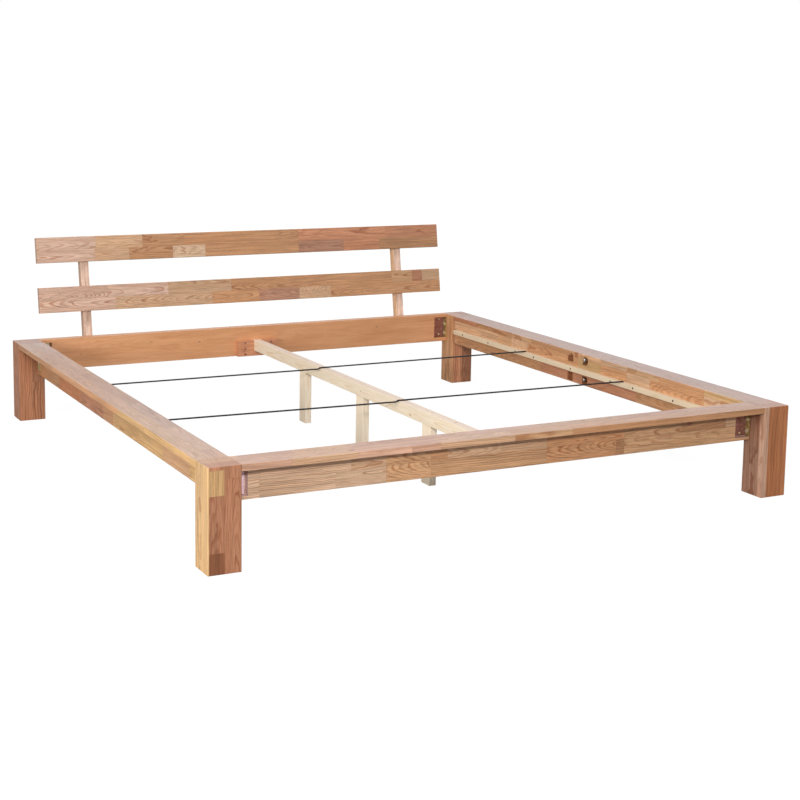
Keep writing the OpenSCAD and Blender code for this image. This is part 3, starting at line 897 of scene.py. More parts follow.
@dataclass
class Board:
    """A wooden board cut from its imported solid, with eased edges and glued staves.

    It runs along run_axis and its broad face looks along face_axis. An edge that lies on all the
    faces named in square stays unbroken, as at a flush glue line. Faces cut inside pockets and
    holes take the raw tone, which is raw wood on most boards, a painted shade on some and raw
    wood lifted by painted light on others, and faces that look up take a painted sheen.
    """

    node: str
    run_axis: int
    face_axis: int
    rows: tuple[Row, ...]
    finish: WoodFinish = OAK
    slot: str = "oak"
    ease: float = 1.6
    end_ease: float = 0.5
    square: tuple[str, ...] = ()
    seed: int = 1
    skin: float = 0.015
    # How far cut faces take the raw tone, which is pale raw wood on most boards, painted shade in
    # the pockets and holes of some, and raw wood lifted by painted light on the foot web.
    raw_and_painted_light_share: float = 0.6
    raw_and_painted_light_tone: Tone = BLOND
    raw_depth: float = 1.0
    # The next two fields paint a sheen on faces that look up: the pale tone that stands for the
    # gloss of a bright surround, and how far it covers the stave's tone.
    painted_sheen_tone: Tone = DUSK
    painted_sheen: float = 0.0

    def tilt(self) -> Matrix:
        """Returns the turn from the board's own axes to the bed's axes."""
        return Matrix.Identity(4)

    def size(self) -> tuple[Vector, Vector]:
        """Returns the board's low and high corners in its own axes."""
        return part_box(self.node)

    def may_ease(self, edge: BMEdge, at_end: bool, low: Vector, high: Vector) -> bool:
        """Says whether an edge of the outer block is rounded in one of its two passes.

        Args:
            edge: the edge.
            at_end: whether the pass is the one round the board's two ends.
            low: the block's low corner.
            high: its high corner.

        Returns:
            Whether the edge is of that pass and isn't kept square.
        """
        sides = {sign + "xyz"[axis] for axis in (X, Y, Z)
                 for sign, place in (("-", low[axis]), ("+", high[axis]))
                 if all(abs(v.co[axis] - place) < TOUCH for v in edge.verts)}
        ends = {sign + "xyz"[self.run_axis] for sign in "-+"}
        kept = bool(self.square) and set(self.square) <= sides
        return bool(sides & ends) == at_end and not kept

    def eased_block(self) -> BMesh:
        """Builds the board's outer block with its long edges rounded, and then its ends.

        Returns:
            The block in the board's own axes.
        """
        low, high = self.size()
        skin = Vector((self.skin * MM,) * 3)
        low, high = low + skin, high - skin
        work = bmesh.new()
        bmesh.ops.create_cube(work, size=1.0)
        for vertex in work.verts:
            vertex.co = Vector([low[i] if vertex.co[i] < 0 else high[i] for i in range(3)])
        for at_end, offset, segments in ((False, self.ease, 3), (True, self.end_ease, 2)):
            edges = [edge for edge in work.edges if self.may_ease(edge, at_end, low, high)]
            ease_edges(work, edges, offset, segments)
        return work

    def shaped(self) -> Object:
        """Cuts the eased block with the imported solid, which brings its pockets and holes.

        Returns:
            The board's object, still without staves.
        """
        work = self.eased_block()
        bmesh.ops.transform(work, matrix=self.tilt(), verts=work.verts)
        piece = link_object("wood_" + self.node, mesh_from(work, self.node))
        cut_with(piece, merged_copy(self.node), "INTERSECT")
        return piece

    def stave_spans(self, line: Row, index: int, low: Vector, high: Vector) -> list[Span]:
        """Finds how far a stave reaches along each axis.

        Args:
            line: the stave's row.
            index: its place in the row.
            low: the board's low corner.
            high: the board's high corner.

        Returns:
            The span along X, Y and Z.
        """
        run = self.run_axis
        start = line.staves[index - 1].end * MM if index else low[run]
        end = line.staves[index].end * MM
        found = {run: Span(start, min(end, high[run]), index > 0, end < high[run])}
        cross = [axis for axis in (X, Y, Z) if axis != run]
        for axis, (a, b) in zip(cross, (line.first, line.second)):
            width = high[axis] - low[axis]
            found[axis] = Span(low[axis] + a * width, low[axis] + b * width, a > 0, b < 1)
        return [found[axis] for axis in (X, Y, Z)]

    def joint_planes(self, low: Vector, high: Vector) -> list[tuple[int, float]]:
        """Lists the planes where the board's staves meet.

        Args:
            low: the board's low corner.
            high: the board's high corner.

        Returns:
            Each plane's axis and place, in order.
        """
        return sorted({
            (axis, round(place, 7)) for line in self.rows for index in range(len(line.staves))
            for axis, span in enumerate(self.stave_spans(line, index, low, high))
            for place, glued in ((span.low, span.low_glued), (span.high, span.high_glued))
            if glued})

    def grain_frame(self, stave: Stave, spans: list[Span], draw: random.Random) -> Matrix:
        """Draws how a stave sat in its tree, and how wide that tree's rings are.

        Args:
            stave: the stave.
            spans: its span along each axis.
            draw: the board's random draw.

        Returns:
            The matrix from the board's own axes to the tree's, X along the fibre.
        """
        middle = Vector([(span.low + span.high) / 2 for span in spans])
        along, out = unit(self.run_axis), unit(self.face_axis)
        turn = Matrix((along, out.cross(along), out)).to_4x4()
        pull, slant = stave.figure.value
        slant *= draw.uniform(*SLANT_SPREAD) * draw.choice((-1, 1))
        depth = draw.uniform(*HEART_DEPTH_MM) * MM * draw.choice((-1, 1))
        drift = draw.uniform(*HEART_DRIFT_MM) * MM
        heart = (0.0, drift, depth) if pull else (0.0, PLAIN_DISTANCE * depth, drift)
        lean = Matrix.Rotation(math.radians(slant), 4, "Y")
        shift = Vector((draw.uniform(*PLACE_ALONG_TREE), 0.0, 0.0)) + Vector(heart)
        width = draw.uniform(*(BOLD_RINGS if pull else PLAIN_RINGS))
        return (Matrix.Diagonal((1.0, width, width, 1.0)) @ Matrix.Translation(shift) @ lean
                @ turn @ Matrix.Translation(-middle))

    def dress(self, piece: Object) -> None:
        """Splits the board's faces at the stave joints and gives each stave its tone and grain.

        Args:
            piece: the shaped board.
        """
        low, high = self.size()
        turn = self.tilt()
        work = bmesh.new()
        work.from_mesh(piece.data)
        bmesh.ops.transform(work, matrix=turn.inverted(), verts=work.verts)
        for axis, place in self.joint_planes(low, high):
            bmesh.ops.bisect_plane(work, geom=work.verts[:] + work.edges[:] + work.faces[:],
                                   plane_co=unit(axis) * place, plane_no=unit(axis), dist=TOUCH)
        mesh = mesh_from(work, piece.name)
        draw = random.Random(self.seed * DRAW_STEP + len(self.node))
        placed: list[Placed] = []
        for line in self.rows:
            for index, stave in enumerate(line.staves):
                spans = self.stave_spans(line, index, low, high)
                placed.append((stave, spans, self.grain_frame(stave, spans, draw)))
        self.paint(mesh, placed, low, high)
        mesh.transform(turn)
        mesh.materials.append(FINISHES.get(self.finish))
        piece.data = mesh

    def face_colour(self, face: MeshPolygon, stave: Stave, low: Vector, high: Vector) -> Vector:
        """Tones a face by its stave, with a painted sheen where it looks up and the raw tone where
        it was cut inside.

        Args:
            face: the face, in the board's own axes.
            stave: the stave that it belongs to.
            low: the board's low corner.
            high: its high corner.

        Returns:
            The colour.
        """
        colour = Vector(stave.tone.value) * stave.shade
        # painted sheen: a face that looks up is drawn towards a pale tone in place of the gloss it
        # would catch
        if face.normal.z > 0.7:
            colour = colour.lerp(Vector(self.painted_sheen_tone.value), self.painted_sheen)
        # Cut faces inside take the raw tone, which each board sets: raw wood on most, painted
        # shade on some, painted light on the foot web.
        axis = main_axis(face.normal)
        outside = high[axis] if face.normal[axis] > 0 else low[axis]
        if abs(face.center[axis] - outside) > (2 * self.ease + self.raw_depth) * MM:
            colour = colour.lerp(Vector(self.raw_and_painted_light_tone.value), self.raw_and_painted_light_share)
        return colour

    def paint(self, mesh: Mesh, placed: list[Placed], low: Vector, high: Vector) -> None:
        """Writes each face's tone, grain and joint distances.

        Args:
            mesh: the board's mesh in its own axes.
            placed: each stave with its spans and its grain matrix.
            low: the board's low corner.
            high: its high corner.
        """
        kinds = {"tone": "FLOAT_COLOR", "grain": "FLOAT_VECTOR", "joint_low": "FLOAT_VECTOR",
                 "joint_high": "FLOAT_VECTOR"}
        for name, kind in kinds.items():
            mesh.attributes.new(name, kind, "CORNER")
        tone, grain, near, far = (mesh.attributes[name].data for name in kinds)
        for face in mesh.polygons:
            inside = face.center - face.normal * (0.2 * MM)
            stave, spans, place = min(placed, key=lambda item: sum(
                max(s.low - inside[i], inside[i] - s.high, 0.0) for i, s in enumerate(item[1])))
            colour = self.face_colour(face, stave, low, high)
            across = [abs(face.normal[i]) <= 0.5 for i in range(3)]
            for loop in face.loop_indices:
                point = mesh.vertices[mesh.loops[loop].vertex_index].co
                tone[loop].color = (*colour, stave.contrast)
                grain[loop].vector = place @ point
                near[loop].vector = [point[i] - s.low if s.low_glued and across[i] else FAR
                                     for i, s in enumerate(spans)]
                far[loop].vector = [s.high - point[i] if s.high_glued and across[i] else FAR
                                    for i, s in enumerate(spans)]

    def build(self) -> None:
        """Builds, dresses and presents the board."""
        piece = self.shaped()
        self.dress(piece)
        present(piece, self.slot, self.node)


@dataclass
class LeaningBoard(Board):
    """A headboard plank, tilted back about the bed's X axis."""

    lean: float = 9.0
    width: float = 100.0
    thickness: float = 22.0

    def tilt(self) -> Matrix:
        """Turns the plank about its own middle.

        Returns:
            The turn from the plank's own axes to the bed's axes.
        """
        low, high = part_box(self.node)
        middle = Matrix.Translation((low + high) / 2)
        return middle @ Matrix.Rotation(math.radians(-self.lean), 4, "X")

    def size(self) -> tuple[Vector, Vector]:
        """Measures the plank about its own middle.

        Returns:
            Its low and high corners in its own axes.
        """
        low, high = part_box(self.node)
        half = Vector(((high.x - low.x) / 2, self.thickness * MM / 2, self.width * MM / 2))
        return -half, half


@dataclass
class Upright(Board):
    """A headboard upright: a plumb foot against the rail, then a leaning post."""

    lean: float = 9.0
    foot: float = 60.0
    depth: float = 36.0

    def eased_block(self) -> BMesh:
        """Builds the cranked post with its edges rounded.

        Returns:
            The post in the bed's axes.
        """
        low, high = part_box(self.node)
        angle = math.radians(self.lean)
        deep, rise = self.depth * MM, self.foot * MM
        up = Vector((0.0, math.sin(angle), math.cos(angle)))
        out = Vector((0.0, math.cos(angle), -math.sin(angle)))
        knee = Vector((0.0, low.y, low.z + rise))
        reach = (high.y - low.y - deep * math.cos(angle)) / math.sin(angle)
        back = knee + out * deep + up * (deep * (1 - math.cos(angle)) / math.sin(angle))
        outline = [Vector((0.0, low.y, low.z)), Vector((0.0, low.y + deep, low.z)), back,
                   knee + out * deep + up * reach, knee + up * reach, knee]
        sides = [[point + unit(X) * x for point in outline]
                 for x in (low.x + self.skin * MM, high.x - self.skin * MM)]
        work = prism(*sides)
        longs = [edge for edge in work.edges
                 if abs((edge.verts[0].co - edge.verts[1].co).normalized().x) < 0.5]
        ease_edges(work, longs, self.ease, 2)
        return work


# ---- hardware -----------------------------------------------------------------------------------

def face_points(name: str, places: list[tuple[Vector, Vector]]) -> Object:
    """Makes a scratch object with one loose point for each fastener.

    Args:
        name: the object's name.
        places: each fastener's head place and the direction its head faces.

    Returns:
        The object, whose aim attribute holds the directions.
    """
    mesh = bpy.data.meshes.new(name)
    mesh.from_pydata([tuple(place) for place, _ in places], [], [])
    aim = mesh.attributes.new("aim", "FLOAT_VECTOR", "POINT")
    for index, (_, direction) in enumerate(places):
        aim.data[index].vector = direction
    return link_object(name, mesh)


END_SHARE = 0.04  # the part of a solid's length at each end in which its width is compared


def axis_ends(points: np.ndarray, flat: bool = False) -> tuple[Vector, Vector]:
    """Finds where a turned solid's head is and which way it faces.

    Args:
        points: the solid's corner points.
        flat: whether the solid is a disc or nut, whose axis is its shortest direction.

    Returns:
        The middle of the head's face and the direction from tip to head.
    """
    mean = points.mean(axis=0)
    spread = points - mean
    axes = np.linalg.svd(spread, full_matrices=False)[2]
    axis = axes[2] if flat else axes[0]
    along = spread @ axis
    radius = np.linalg.norm(spread - np.outer(along, axis), axis=1)
    top, bottom = along.max(), along.min()
    end = END_SHARE * (top - bottom)
    if radius[along > top - end].max() < radius[along < bottom + end].max():
        axis, along, top = -axis, -along, -bottom
    middle = mean if flat else (points.min(axis=0) + points.max(axis=0)) / 2
    head = middle + axis * (top - (middle - mean) @ axis)
    return Vector(head), Vector(axis)


def dressed_mesh(w: Wiring, mesh: NodeSocket, finish: NodeSocket) -> NodeSocket:
    """Realizes what a tree has made and sets its material."""
    real = w.node("GeometryNodeRealizeInstances", {0: mesh}).outputs[0]
    return w.node("GeometryNodeSetMaterial", {"Geometry": real, "Material": finish}).outputs[0]


def run_tree(thing: Object, tree: NodeTree, values: dict[str, object]) -> None:
    """Runs a Geometry Nodes tree on an object and keeps the result as its mesh.

    Args:
        thing: the scratch object, which becomes the piece.
        tree: the tree.
        values: the tree's inputs by name.
    """
    modifier = thing.modifiers.new(tree.name, "NODES")
    modifier.node_group = tree
    sockets = {item.name: item.identifier for item in tree.interface.items_tree
               if item.item_type == "SOCKET" and item.in_out == "INPUT"}
    for name, value in values.items():
        modifier[sockets[name]] = value
    plain_mesh(thing)


class FastenerTree:
    """A Geometry Nodes tree that sets one made-up fastener on each point it is given."""

    RADII = {"Cylinder": ("Radius",), "Cone": ("Radius Top", "Radius Bottom")}
    ROUND_HEAD, ROUND_CHAMFER = 24, 36  # sides
    SLOT_WIDTH = 0.26  # of the head's radius
    CHAMFER = (0.47, 0.80)  # of the width across the flats, at the face and below it

    def __init__(self, name: str, **sizes: float) -> None:
        """Opens the tree.

        Args:
            name: the tree's name.
            sizes: its sizes in mm when nothing else is asked for, with underscores for spaces.
        """
        self.sizes = {label.replace("_", " "): value * MM for label, value in sizes.items()}
        takes: dict[str, tuple[str, object]] = {"Points": ("Geometry", None)}
        takes.update({label: ("Float", value) for label, value in self.sizes.items()})
        takes["Finish"] = ("Material", None)
        self.tree, self.w, self.take, self.give = open_group(
            name, "GeometryNodeTree", takes, {"Mesh": "Geometry"})

    def part(self, label: str, factor: float) -> NodeSocket:
        """Returns a part of one of the fastener's sizes."""
        return self.w.times(self.take[label], factor)

    def barrel(self, kind: str, vertices: int, depth: object, drop: object,
               *radii: object) -> NodeSocket:
        """Adds a cylinder or cone standing below the point.

        Args:
            kind: Cylinder or Cone.
            vertices: sides of its outline.
            depth: its height.
            drop: how far its lower end lies below the head's face.
            radii: the cylinder's radius, or the cone's at its top and at its bottom.

        Returns:
            The moved mesh's socket.
        """
        w = self.w
        feeds = dict(zip(self.RADII[kind], radii))
        made = w.node("GeometryNodeMesh" + kind, {"Vertices": vertices, "Depth": depth, **feeds})
        height = w.times(drop, -1.0)
        if kind == "Cylinder":  # its origin is its middle, and a cone's its lower end
            height = w.math("ADD", height, w.times(depth, 0.5))
        return w.node("GeometryNodeTransform", {"Geometry": made.outputs["Mesh"],
                                                "Translation": w.xyz(Z=height)}).outputs[0]

    def combine(self, operation: str, first: NodeSocket, *others: NodeSocket) -> NodeSocket:
        """Adds a Mesh Boolean.

        Args:
            operation: INTERSECT or DIFFERENCE.
            first: the first mesh, from which a DIFFERENCE takes the others.
            others: the other meshes.

        Returns:
            The result's socket.
        """
        made = self.w.node("GeometryNodeMeshBoolean", operation=operation)
        if operation == "DIFFERENCE":
            self.w.feed(made.inputs["Mesh 1"], first)
        else:
            others = (first, *others)
        for other in others:
            self.w.feed(made.inputs["Mesh 2"], other)
        return made.outputs["Mesh"]

    def recessed(self, head: NodeSocket, length: float, deep: object) -> NodeSocket:
        """Cuts a cross recess for a driver into a head.

        Args:
            head: the head's mesh.
            length: how long the cross is, in radii of the head.
            deep: the height of its two blocks, half of which lie above the head.

        Returns:
            The recessed head's socket.
        """
        long, wide = self.part("Head Radius", length), self.part("Head Radius", self.SLOT_WIDTH)
        blocks = [self.w.node("GeometryNodeMeshCube", {"Size": self.w.xyz(X=x, Y=y, Z=deep)})
                  for x, y in ((long, wide), (wide, long))]
        return self.combine("DIFFERENCE", head, *(block.outputs["Mesh"] for block in blocks))

    def shank(self, vertices: int) -> NodeSocket:
        """Adds the plain shank below the head.

        Args:
            vertices: how many sides it has.

        Returns:
            The shank's mesh.
        """
        body = self.w.math("SUBTRACT", self.take["Length"], self.take["Head Height"])
        return self.barrel("Cylinder", vertices, body, self.take["Length"],
                           self.take["Shank Radius"])

    def hexagon(self, rise: NodeSocket) -> NodeSocket:
        """Adds the six-sided block between the flats."""
        corner = self.w.math("DIVIDE", self.take["Across Flats"], math.sqrt(3))
        return self.barrel("Cylinder", 6, rise, rise, corner)

    def chamfer(self, deep: NodeSocket, drop: NodeSocket, *factors: float) -> NodeSocket:
        """Adds the cone that rounds a hexagon's corners.

        Args:
            deep: the cone's height.
            drop: how far its lower end lies below the head's face.
            factors: its upper and lower radius, in widths across the flats.

        Returns:
            The cone's socket.
        """
        radii = (self.part("Across Flats", factor) for factor in factors)
        return self.barrel("Cone", self.ROUND_CHAMFER, deep, drop, *radii)

    def close(self, *parts: NodeSocket) -> FastenerTree:
        """Sets the fastener's parts on the points and ends the tree.

        Args:
            parts: the fastener's meshes.

        Returns:
            The fastener, its tree finished.
        """
        w = self.w
        joined = w.node("GeometryNodeJoinGeometry")
        for part in parts:
            w.feed(joined.inputs[0], part)
        aim = w.node("GeometryNodeInputNamedAttribute", {"Name": "aim"}, data_type="FLOAT_VECTOR")
        turn = w.node("FunctionNodeAlignRotationToVector", {"Vector": aim.outputs["Attribute"]},
                      axis="Z")
        placed = w.node("GeometryNodeInstanceOnPoints", {
            "Points": self.take["Points"], "Instance": joined.outputs[0],
            "Rotation": turn.outputs[0]})
        w.fill(self.give, {"Mesh": dressed_mesh(w, placed.outputs[0], self.take["Finish"])})
        return self


def countersunk_screw() -> FastenerTree:
    """Builds the countersunk wood screw with a cross recess.

    Returns:
        The fastener.
    """
    made = FastenerTree("countersunk_screw", Head_Radius=4, Head_Height=3, Shank_Radius=2,
                        Length=36)
    rise = made.take["Head Height"]
    head = made.barrel("Cone", made.ROUND_HEAD, rise, rise, made.take["Head Radius"],
                       made.take["Shank Radius"])
    head = made.recessed(head, 1.15, made.part("Head Height", 1.1))
    return made.close(head, made.shank(14))


def pan_screw() -> FastenerTree:
    """Builds the low domed bracket screw with a cross recess.

    Returns:
        The fastener.
    """
    made = FastenerTree("pan_screw", Head_Radius=4, Head_Height=2, Shank_Radius=2, Length=8)
    rise, radius = made.take["Head Height"], made.take["Head Radius"]
    rim = made.part("Head Height", 0.45)
    dome = made.w.math("SUBTRACT", rise, rim)
    crown = made.barrel("Cone", made.ROUND_HEAD, dome, dome, made.part("Head Radius", 0.62),
                        radius)
    base = made.barrel("Cylinder", made.ROUND_HEAD, rim, rise, radius)
    return made.close(made.recessed(crown, 1.05, rise), base, made.shank(14))


def hexagon_bolt() -> FastenerTree:
    """Builds the hexagon bolt with a chamfered head.

    Returns:
        The fastener.
    """
    made = FastenerTree("hex_bolt", Across_Flats=13, Head_Height=5, Shank_Radius=4, Length=51)
    rise = made.take["Head Height"]
    dome = made.chamfer(made.part("Head Height", 1.02), rise, *made.CHAMFER)
    head = made.combine("INTERSECT", made.hexagon(rise), dome)
    return made.close(head, made.shank(24))


def hexagon_nut() -> FastenerTree:
    """Builds the hexagon nut, chamfered on both faces and bored through.

    Returns:
        The fastener.
    """
    made = FastenerTree("hex_nut", Across_Flats=13, Height=6.5, Bore_Radius=4)
    rise, deep = made.take["Height"], made.part("Height", 1.02)
    upper = made.chamfer(deep, rise, *made.CHAMFER)
    lower = made.chamfer(deep, deep, *made.CHAMFER[::-1])
    bore = made.barrel("Cylinder", 24, made.part("Height", 1.5), made.part("Height", 1.25),
                       made.take["Bore Radius"])
    block = made.combine("INTERSECT", made.hexagon(rise), upper, lower)
    return made.close(made.combine("DIFFERENCE", block, bore))


def bar_tree() -> NodeTree:
    """Builds the tree that sweeps a round bar along a cranked path with soft bends.

    Returns:
        The tree, with the bar's radius and its bend radius as inputs.
    """
    tree, w, take, give = open_group(
        "bent_bar", "GeometryNodeTree",
        {"Path": ("Geometry", None), "Radius": ("Float", 0.004), "Bend": ("Float", 0.012),
         "Finish": ("Material", None)}, {"Mesh": "Geometry"})
    line = w.node("GeometryNodeMeshToCurve", {0: take["Path"]})
    soft = w.node("GeometryNodeFilletCurve", {
        "Curve": line.outputs[0], "Count": 6, "Radius": take["Bend"], "Limit Radius": True},
        mode="POLY")
    ring = w.node("GeometryNodeCurvePrimitiveCircle", {"Resolution": 20, "Radius": take["Radius"]})
    swept = w.node("GeometryNodeCurveToMesh", {
        "Curve": soft.outputs[0], "Profile Curve": ring.outputs[0], "Fill Caps": True})
    w.fill(give, {"Mesh": dressed_mesh(w, swept.outputs[0], take["Finish"])})
    return tree


class Head(Enum):
    """The kinds of fastener in the frame."""

    COUNTERSUNK = "countersunk"
    PAN = "pan"
    HEXAGON = "hexagon"
    NUT = "nut"


@dataclass
class Fasteners:
    """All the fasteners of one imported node, each set where its solid is.

    The sizes are in the order in which the kind's tree names them.
    """

    node: str
    head: Head
    sizes: tuple[float, ...]
    finish: MetalFinish = ZINC

    def build(self, kinds: dict[Head, FastenerTree]) -> None:
        """Builds and presents the fasteners.

        Args:
            kinds: the tree of each kind.
        """
        flat = self.head is Head.NUT
        piece = face_points("set_" + self.node,
                            [axis_ends(points, flat) for points in solids(self.node)])
        kind = kinds[self.head]
        run_tree(piece, kind.tree, {
            "Finish": FINISHES.get(self.finish),
            **{label: size * MM for label, size in zip(kind.sizes, self.sizes)}})
        present(piece, "zinc", self.node)


@dataclass
class CornerBrackets:
    """The bent, bored plates in the pockets at the rail ends."""

    node: str = "corner_brackets"
    thick: float = 2.5
    bend: float = 2.2
    tightest: float = 0.3
    bolt_hole: float = 8.6
    screw_hole: float = 4.4
    segments: int = 5
    coatings: tuple[MetalFinish, ...] = (ZINC, PINK_ZINC_AND_PAINTED_LIGHT, RED_ZINC_AND_PAINTED_REFLECTION, OLIVE_ZINC)

    def outline(self, long: float, deep: float) -> list[tuple[float, float]]:
        """Draws the bent plate's section.

        Args:
            long: how far the plate reaches along the rail, in metres.
            deep: how far it reaches into the pocket.

        Returns:
            The corners, along the rail and into the pocket.
        """
        t, r = self.thick * MM, self.bend * MM
        inner = max(r - t, self.tightest * MM)
        turns = [math.pi / 2 * k / self.segments for k in range(self.segments + 1)]
        outside = [(r - r * math.cos(a), deep - r + r * math.sin(a)) for a in turns]
        inside = [(t + inner - inner * math.sin(a), deep - t - inner + inner * math.cos(a))
                  for a in turns]
        return [(0.0, 0.0), *outside, (long, deep), (long, deep - t), *inside, (t, 0.0)]

    def plate(self, low: Vector, high: Vector) -> Mesh:
        """Builds one plate in its pocket.

        Args:
            low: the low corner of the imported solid.
            high: its high corner.

        Returns:
            The plate's mesh, in the bed's axes.
        """
        turn = self.corner_turn(low, high)
        extent = turn.to_3x3().inverted() @ (high - low)
        section = self.outline(abs(extent.x), abs(extent.y))
        lower, upper = ([turn @ Vector((x, y, z)) for x, y in section]
                        for z in (0.0, abs(extent.z)))
        return mesh_from(prism(lower, upper), "plate")

    def corner_turn(self, low: Vector, high: Vector) -> Matrix:
        """Finds how a plate sits, from which way its solid lies in the frame.

        Args:
            low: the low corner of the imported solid.
            high: its high corner.

        Returns:
            The matrix from along, in and up to the bed's axes.
        """
        side = 1.0 if low.x + high.x > 0 else -1.0
        end = 1.0 if low.y + high.y > 0 else -1.0
        if high.x - low.x > high.y - low.y:
            along, inward = Vector((-side, 0, 0)), Vector((0, 1, 0))
        else:
            along, inward = Vector((0, -end, 0)), Vector((-side, 0, 0))
        corner = Vector((low.x if along.x > 0 or inward.x > 0 else high.x,
                         low.y if along.y > 0 or inward.y > 0 else high.y, low.z))
        turn = Matrix((along, inward, unit(Z))).transposed().to_4x4()
        return Matrix.Translation(corner) @ turn

    def build(self) -> None:
        """Builds the plates, bores them with the fasteners' holes and presents them."""
        work = bmesh.new()
        for low, high in solid_boxes(self.node):
            plate = self.plate(low, high)
            work.from_mesh(plate)
            bpy.data.meshes.remove(plate)
        name = "zinc_" + self.node
        piece = link_object(name, mesh_from(work, name))
        cut_with(piece, self.drills(), "DIFFERENCE")
        self.coat(piece.data)
        present(piece, "zinc", self.node)

    def coat(self, mesh: Mesh) -> None:
        """Gives the plates' leaves their coatings.

        Most are yellow. The foot rail's left plate is pink, lifted near white as painted light in
        its pocket's shade, and the right plates of the foot and head rails are red on the rail, a
        painted reflection of the wood round them, and olive on the leg.

        Args:
            mesh: the bored plates.
        """
        mesh.materials.clear()
        for finish in self.coatings:
            mesh.materials.append(FINISHES.get(finish))
        boxes = solid_boxes(self.node)
        for face in mesh.polygons:
            low, high = min(boxes, key=lambda box: ((box[0] + box[1]) / 2 - face.center).length)
            if high.x - low.x <= high.y - low.y:
                continue
            place = self.corner_turn(low, high).inverted() @ face.center
            if low.x + high.x > 0:
                # the rail leaf's dark red is a painted reflection of the wood round it
                finish = RED_ZINC_AND_PAINTED_REFLECTION if place.x > 2 * self.thick * MM else OLIVE_ZINC
                face.material_index = self.coatings.index(finish)
            elif low.y < 0:
                # the pink plate's near-white base is painted light in its pocket's shade
                face.material_index = self.coatings.index(PINK_ZINC_AND_PAINTED_LIGHT)

    def drills(self) -> Object:
        """Builds the rods that bore the plates.

        Returns:
            A scratch object that the caller removes.
        """
        work = bmesh.new()
        for node, bore, length in (("corner_bolts", self.bolt_hole, 24.0),
                                   ("bracket_screws", self.screw_hole, 12.0)):
            for points in solids(node):
                head, aim = axis_ends(points)
                turn = aim.to_track_quat("Z", "Y").to_matrix().to_4x4()
                bmesh.ops.create_cone(work, cap_ends=True, segments=24, radius1=bore * MM / 2,
                                      radius2=bore * MM / 2, depth=length * MM,
                                      matrix=Matrix.Translation(head) @ turn)
        return link_object("drills", mesh_from(work, "drills"))


@dataclass
class TieRod:
    """A black steel bar hooked into the ledgers, cranked down just before the beam."""

    node: str
    rod: float = 5.5
    crank: float = 4.5
    hook_x: float = 892.5
    axis_z: float = 246.75
    hook_z: float = 232.01
    sag_x: float = -28.5
    crest_x: float = -21.6
    bend: float = 7.0
    rises: bool = False

    def path(self) -> list[Vector]:
        """Finds the bar's bends.

        Returns:
            The bends and ends from left to right, in metres.
        """
        low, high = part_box(self.node)
        half = self.rod / 2 * MM
        y_left, y_right = low.y + half, high.y - half
        if not self.rises:
            y_left, y_right = y_right, y_left
        points = [(-self.hook_x, self.hook_z), (-self.hook_x, self.axis_z),
                  (self.sag_x, self.axis_z - self.crank), (self.crest_x, self.axis_z),
                  (self.hook_x, self.axis_z), (self.hook_x, self.hook_z)]
        return [Vector((x * MM, y_left + (y_right - y_left) * (x + self.hook_x)
                        / (2 * self.hook_x), z * MM)) for x, z in points]

    def build(self, tree: NodeTree) -> None:
        """Sweeps, smooths and presents the bar.

        Args:
            tree: the bent bar tree.
        """
        points = self.path()
        mesh = bpy.data.meshes.new("steel_" + self.node)
        mesh.from_pydata([tuple(p) for p in points],
                         [(i, i + 1) for i in range(len(points) - 1)], [])
        piece = link_object("steel_" + self.node, mesh)
        run_tree(piece, tree, {"Radius": self.rod / 2 * MM, "Bend": self.bend * MM,
                               "Finish": FINISHES.get(BLACK_STEEL)})
        for face in piece.data.polygons:
            face.use_smooth = len(face.vertices) == 4
        present(piece, "black_steel", self.node)


# ---- staves -------------------------------------------------------------------------------------

# Each board's rows by its node. A row says which fractions it fills across the board, along the
# lower axis and then the higher one, and a stave where it ends, its tone, shade, figure, contrast.

LEG_STAVES = {
    "leg_foot_left": (
        row((0, 0.04), LOW, (301, WHEAT, 1, FLAMED, 0.8)),
        row((0, 0.04), HIGH, (301, WHEAT, 0.97, STRAIGHT, 0.9)),
        row((0.04, 0.49), (0, 0.48), (60, UMBER, 0.92, STRAIGHT, 1.4),
            (219, RUSSET, 0.88, FLAMED, 1.4), (290, OLIVE, 1.1, STRAIGHT, 1.2), (301, RUSSET)),
        row((0.04, 0.49), (0.48, 1), (301, SAND, 1, STRAIGHT, 0.7)),
        row((0.49, 1), (0, 0.48), (265, RUSSET, 0.96, CURLED, 1.1),
            (301, RUSSET, 0.9, FLAMED, 0.8)),
        row((0.49, 1), (0.48, 1), (140, COPPER, 1, FLAMED), (301, SAND)),
    ),
    "leg_foot_right": (
        row((0, 0.2), (0, 0.22), (301, ROSE, 1, STRAIGHT, 0.6)),
        row((0, 0.2), (0.22, 1), (301, MAUVE, 0.8, STRAIGHT, 1.3)),
        row((0.2, 0.82), LOW, (301, BRICK)),
        row((0.2, 0.82), HIGH, (160, RUSSET), (301, ROSE, 1, FLAMED)),
        row((0.82, 1), ALL, (301, BRICK, 1.15)),
    ),
    "leg_head_left": (
        row(LOW, ALL, (301, RUSSET, 1, STRAIGHT, 1.3)),
        row(HIGH, ALL, (150, RUSSET, 0.92, STRAIGHT, 1.3), (301, RUSSET, 0.84, STRAIGHT, 1.2)),
    ),
    "leg_head_right": (
        row((0, 0.06), ALL, (301, COPPER, 1.12, STRAIGHT, 0.7)),
        row((0.06, 0.5), ALL, (301, RUSSET, 1.42, STRAIGHT, 1.5)),
        row(HIGH, ALL, (301, RUSSET, 0.88, FLAMED, 2)),
    ),
}

